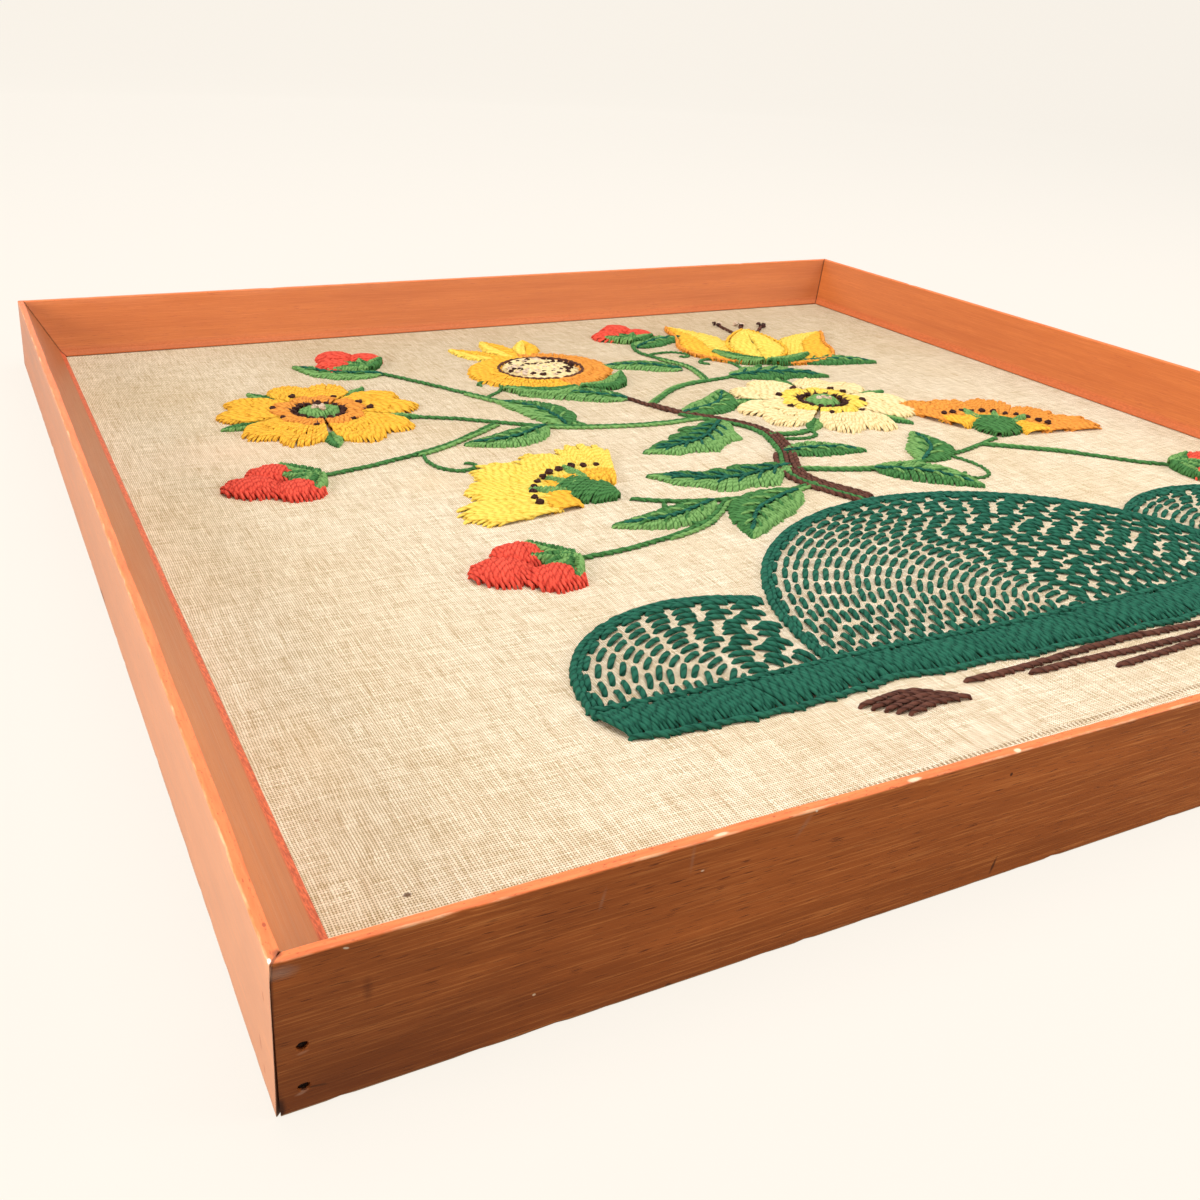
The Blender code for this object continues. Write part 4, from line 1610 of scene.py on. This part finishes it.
def work_pomegranate(name, foot, lean, length, width):
    work = Needlework(name, foot, lean - 90)
    middle = length * 0.42
    half_x, half_y = width / 2, length * 0.40
    for petal, (tip_x, tip_y) in enumerate(((-0.30, 1.12), (0.30, 1.12), (0.0, 1.20))):
        tip = np.array((tip_x * width, tip_y * length))
        base = np.array((tip_x * width * 0.3, length * 0.74))
        spine = curve_through((base, (base + tip) / 2 + np.array((tip_x * 0.004, 0.0)), tip), 30)
        two_sided(
            work,
            spine,
            0.0090 * np.sin(np.linspace(0.25, math.pi, 30)) ** 0.9,
            "lemon",
            "gold",
            lift=0.0004 * petal,
        )
    for start, wool_rim, wool_rind in ((90.0, "gold", "gold"), (-90.0, "orange", "orange")):
        outer = oval(half_x, half_y, middle, 60, start, 180.0)
        inner = oval(half_x * 0.52, half_y * 0.56, middle, 60, start - 12, 180.0)
        work.long_and_short(inner, outer, (wool_rind, wool_rim), ragged=0.09)
    seeds = oval(half_x * 0.56, half_y * 0.60, middle)
    work.satin(
        seeds[:40][::-1] * np.array((-1.0, 1.0)), seeds[:40][::-1], "cream", lift=0.0008, ragged=0.03
    )
    work.stem(oval(half_x * 0.58, half_y * 0.62, middle), "brown", lift=0.0016, width=0.0022)
    work.knot_bed(
        half_x * 0.46,
        half_y * 0.50,
        ("dark_brown", "dark_brown", "bone"),
        spacing=0.0043,
        lift=0.0018,
        middle=(0.0, middle),
    )
    for side in (-1, 1):
        cup = ((0.0, -0.002), (side * width * 0.24, -0.004), (side * width * 0.46, length * 0.16))
        work_blade(work, cup, 0.0070, leaf_greens, 0.0018, blunt=0.2, count=30)
    return work


work_pomegranate("pomegranate", (-0.012, 0.1330), 97, 0.100, 0.094).finish()


# ---------------------------------------------------------------------------------------------
# Tulip: three pointed petals, the outer two curling away, in two yellows with an orange edge, and
# three brown threads with knotted ends that stand above them.
def work_tulip(name, foot, lean, size):
    work = Needlework(name, foot, lean - 90)
    share = np.linspace(0, 1, 50)
    swell = np.sin(math.pi * share**0.75) ** 0.8
    for thread in (-1, 0, 1):
        line = curve_through(
            ((0.0, size * 0.5), (thread * size * 0.09, size * 0.85), (thread * size * 0.17, size * 1.10)),
            30,
        )
        work.stem(line, "brown", width=0.0020, lift=0.0004)
        work.knot_bed(0.0040, 0.0040, ("dark_brown", "bone"), spacing=0.0036, middle=tuple(line[-1]))
    for side, left_wool, right_wool in ((-1, "gold", "lemon"), (1, "lemon", "gold")):
        petal = curve_through(
            (
                (0.0, 0.0),
                (side * size * 0.30, size * 0.28),
                (side * size * 0.38, size * 0.62),
                (side * size * 0.58, size * 0.95),
            ),
            50,
        )
        two_sided(work, petal, size * 0.21 * swell, left_wool, right_wool, lift=0.0002)
        work.stem(beside(petal, -side * size * 0.21 * swell)[3:], "orange", width=0.0021, lift=0.0012)
    middle_petal = curve_through(((0.0, 0.0), (0.0, size * 0.45), (0.0, size * 0.88)), 50)
    two_sided(work, middle_petal, size * 0.20 * swell, "lemon", "lemon", lift=0.0022, slant=0.12)
    for side in (-1, 1):
        work.stem(beside(middle_petal, side * size * 0.205 * swell), "gold", width=0.0020, lift=0.0026)
        cup = ((0.0, -0.002), (side * size * 0.16, size * 0.02), (side * size * 0.34, size * 0.20))
        work_blade(work, cup, 0.0055, leaf_greens, 0.0030)
    return work


work_tulip("tulip", (0.134, 0.1480), 66, 0.098).finish()


# ---------------------------------------------------------------------------------------------
# Berries: coral red, in threes, each a padded round of satin stitch with a second row across its
# crown; little green blades sit where they meet the stalk.
def work_berries(name, foot, lean, radius):
    work = Needlework(name, foot, lean - 90)
    for berry_x, berry_y, size in ((-1.02, 1.45, 1.0), (1.02, 1.55, 0.95), (0.05, 2.75, 1.05)):
        middle = np.array((berry_x, berry_y)) * radius
        size = size * radius
        count = int(2 * size / 0.0018)
        down = np.linspace(-0.96, 0.96, count)
        half = size * np.sqrt(1 - down**2)
        for slope, rise, reach in ((0.10, 0.0006, 1.0), (-0.18, 0.0020, 0.74)):
            place = middle[1] + down * size * reach
            ragged = draws.uniform(0.94, 1.14, (2, count))
            starts = np.stack((middle[0] - half * reach * ragged[0], place - slope * half), -1)
            ends = np.stack((middle[0] + half * reach * ragged[1], place + slope * half), -1)
            work.lay(starts, ends, "coral", rise + 0.0012 * (1 - down**2))
    for tip_x, tip_y in ((-1.6, 0.9), (-0.5, 1.5), (0.6, 1.5), (1.7, 1.0)):
        blade = (
            (0.0, 0.0), (tip_x * radius * 0.5, tip_y * radius * 0.62), (tip_x * radius, tip_y * radius)
        )
        work_blade(work, blade, 0.0042, leaf_greens, 0.0026)
    return work


for name, foot, lean, radius in (
    ("berries_left", (-0.196, 0.0350), 190, 0.0125),
    ("berries_top", (0.075, 0.2220), 84, 0.0115),
    ("berries_low", (-0.126, -0.0960), 186, 0.0125),
    ("berries_right", (0.226, -0.0980), 318, 0.0120),
    ("berries_far", (-0.118, 0.2080), 112, 0.0120),
):
    work_berries(name, foot, lean, radius).finish()
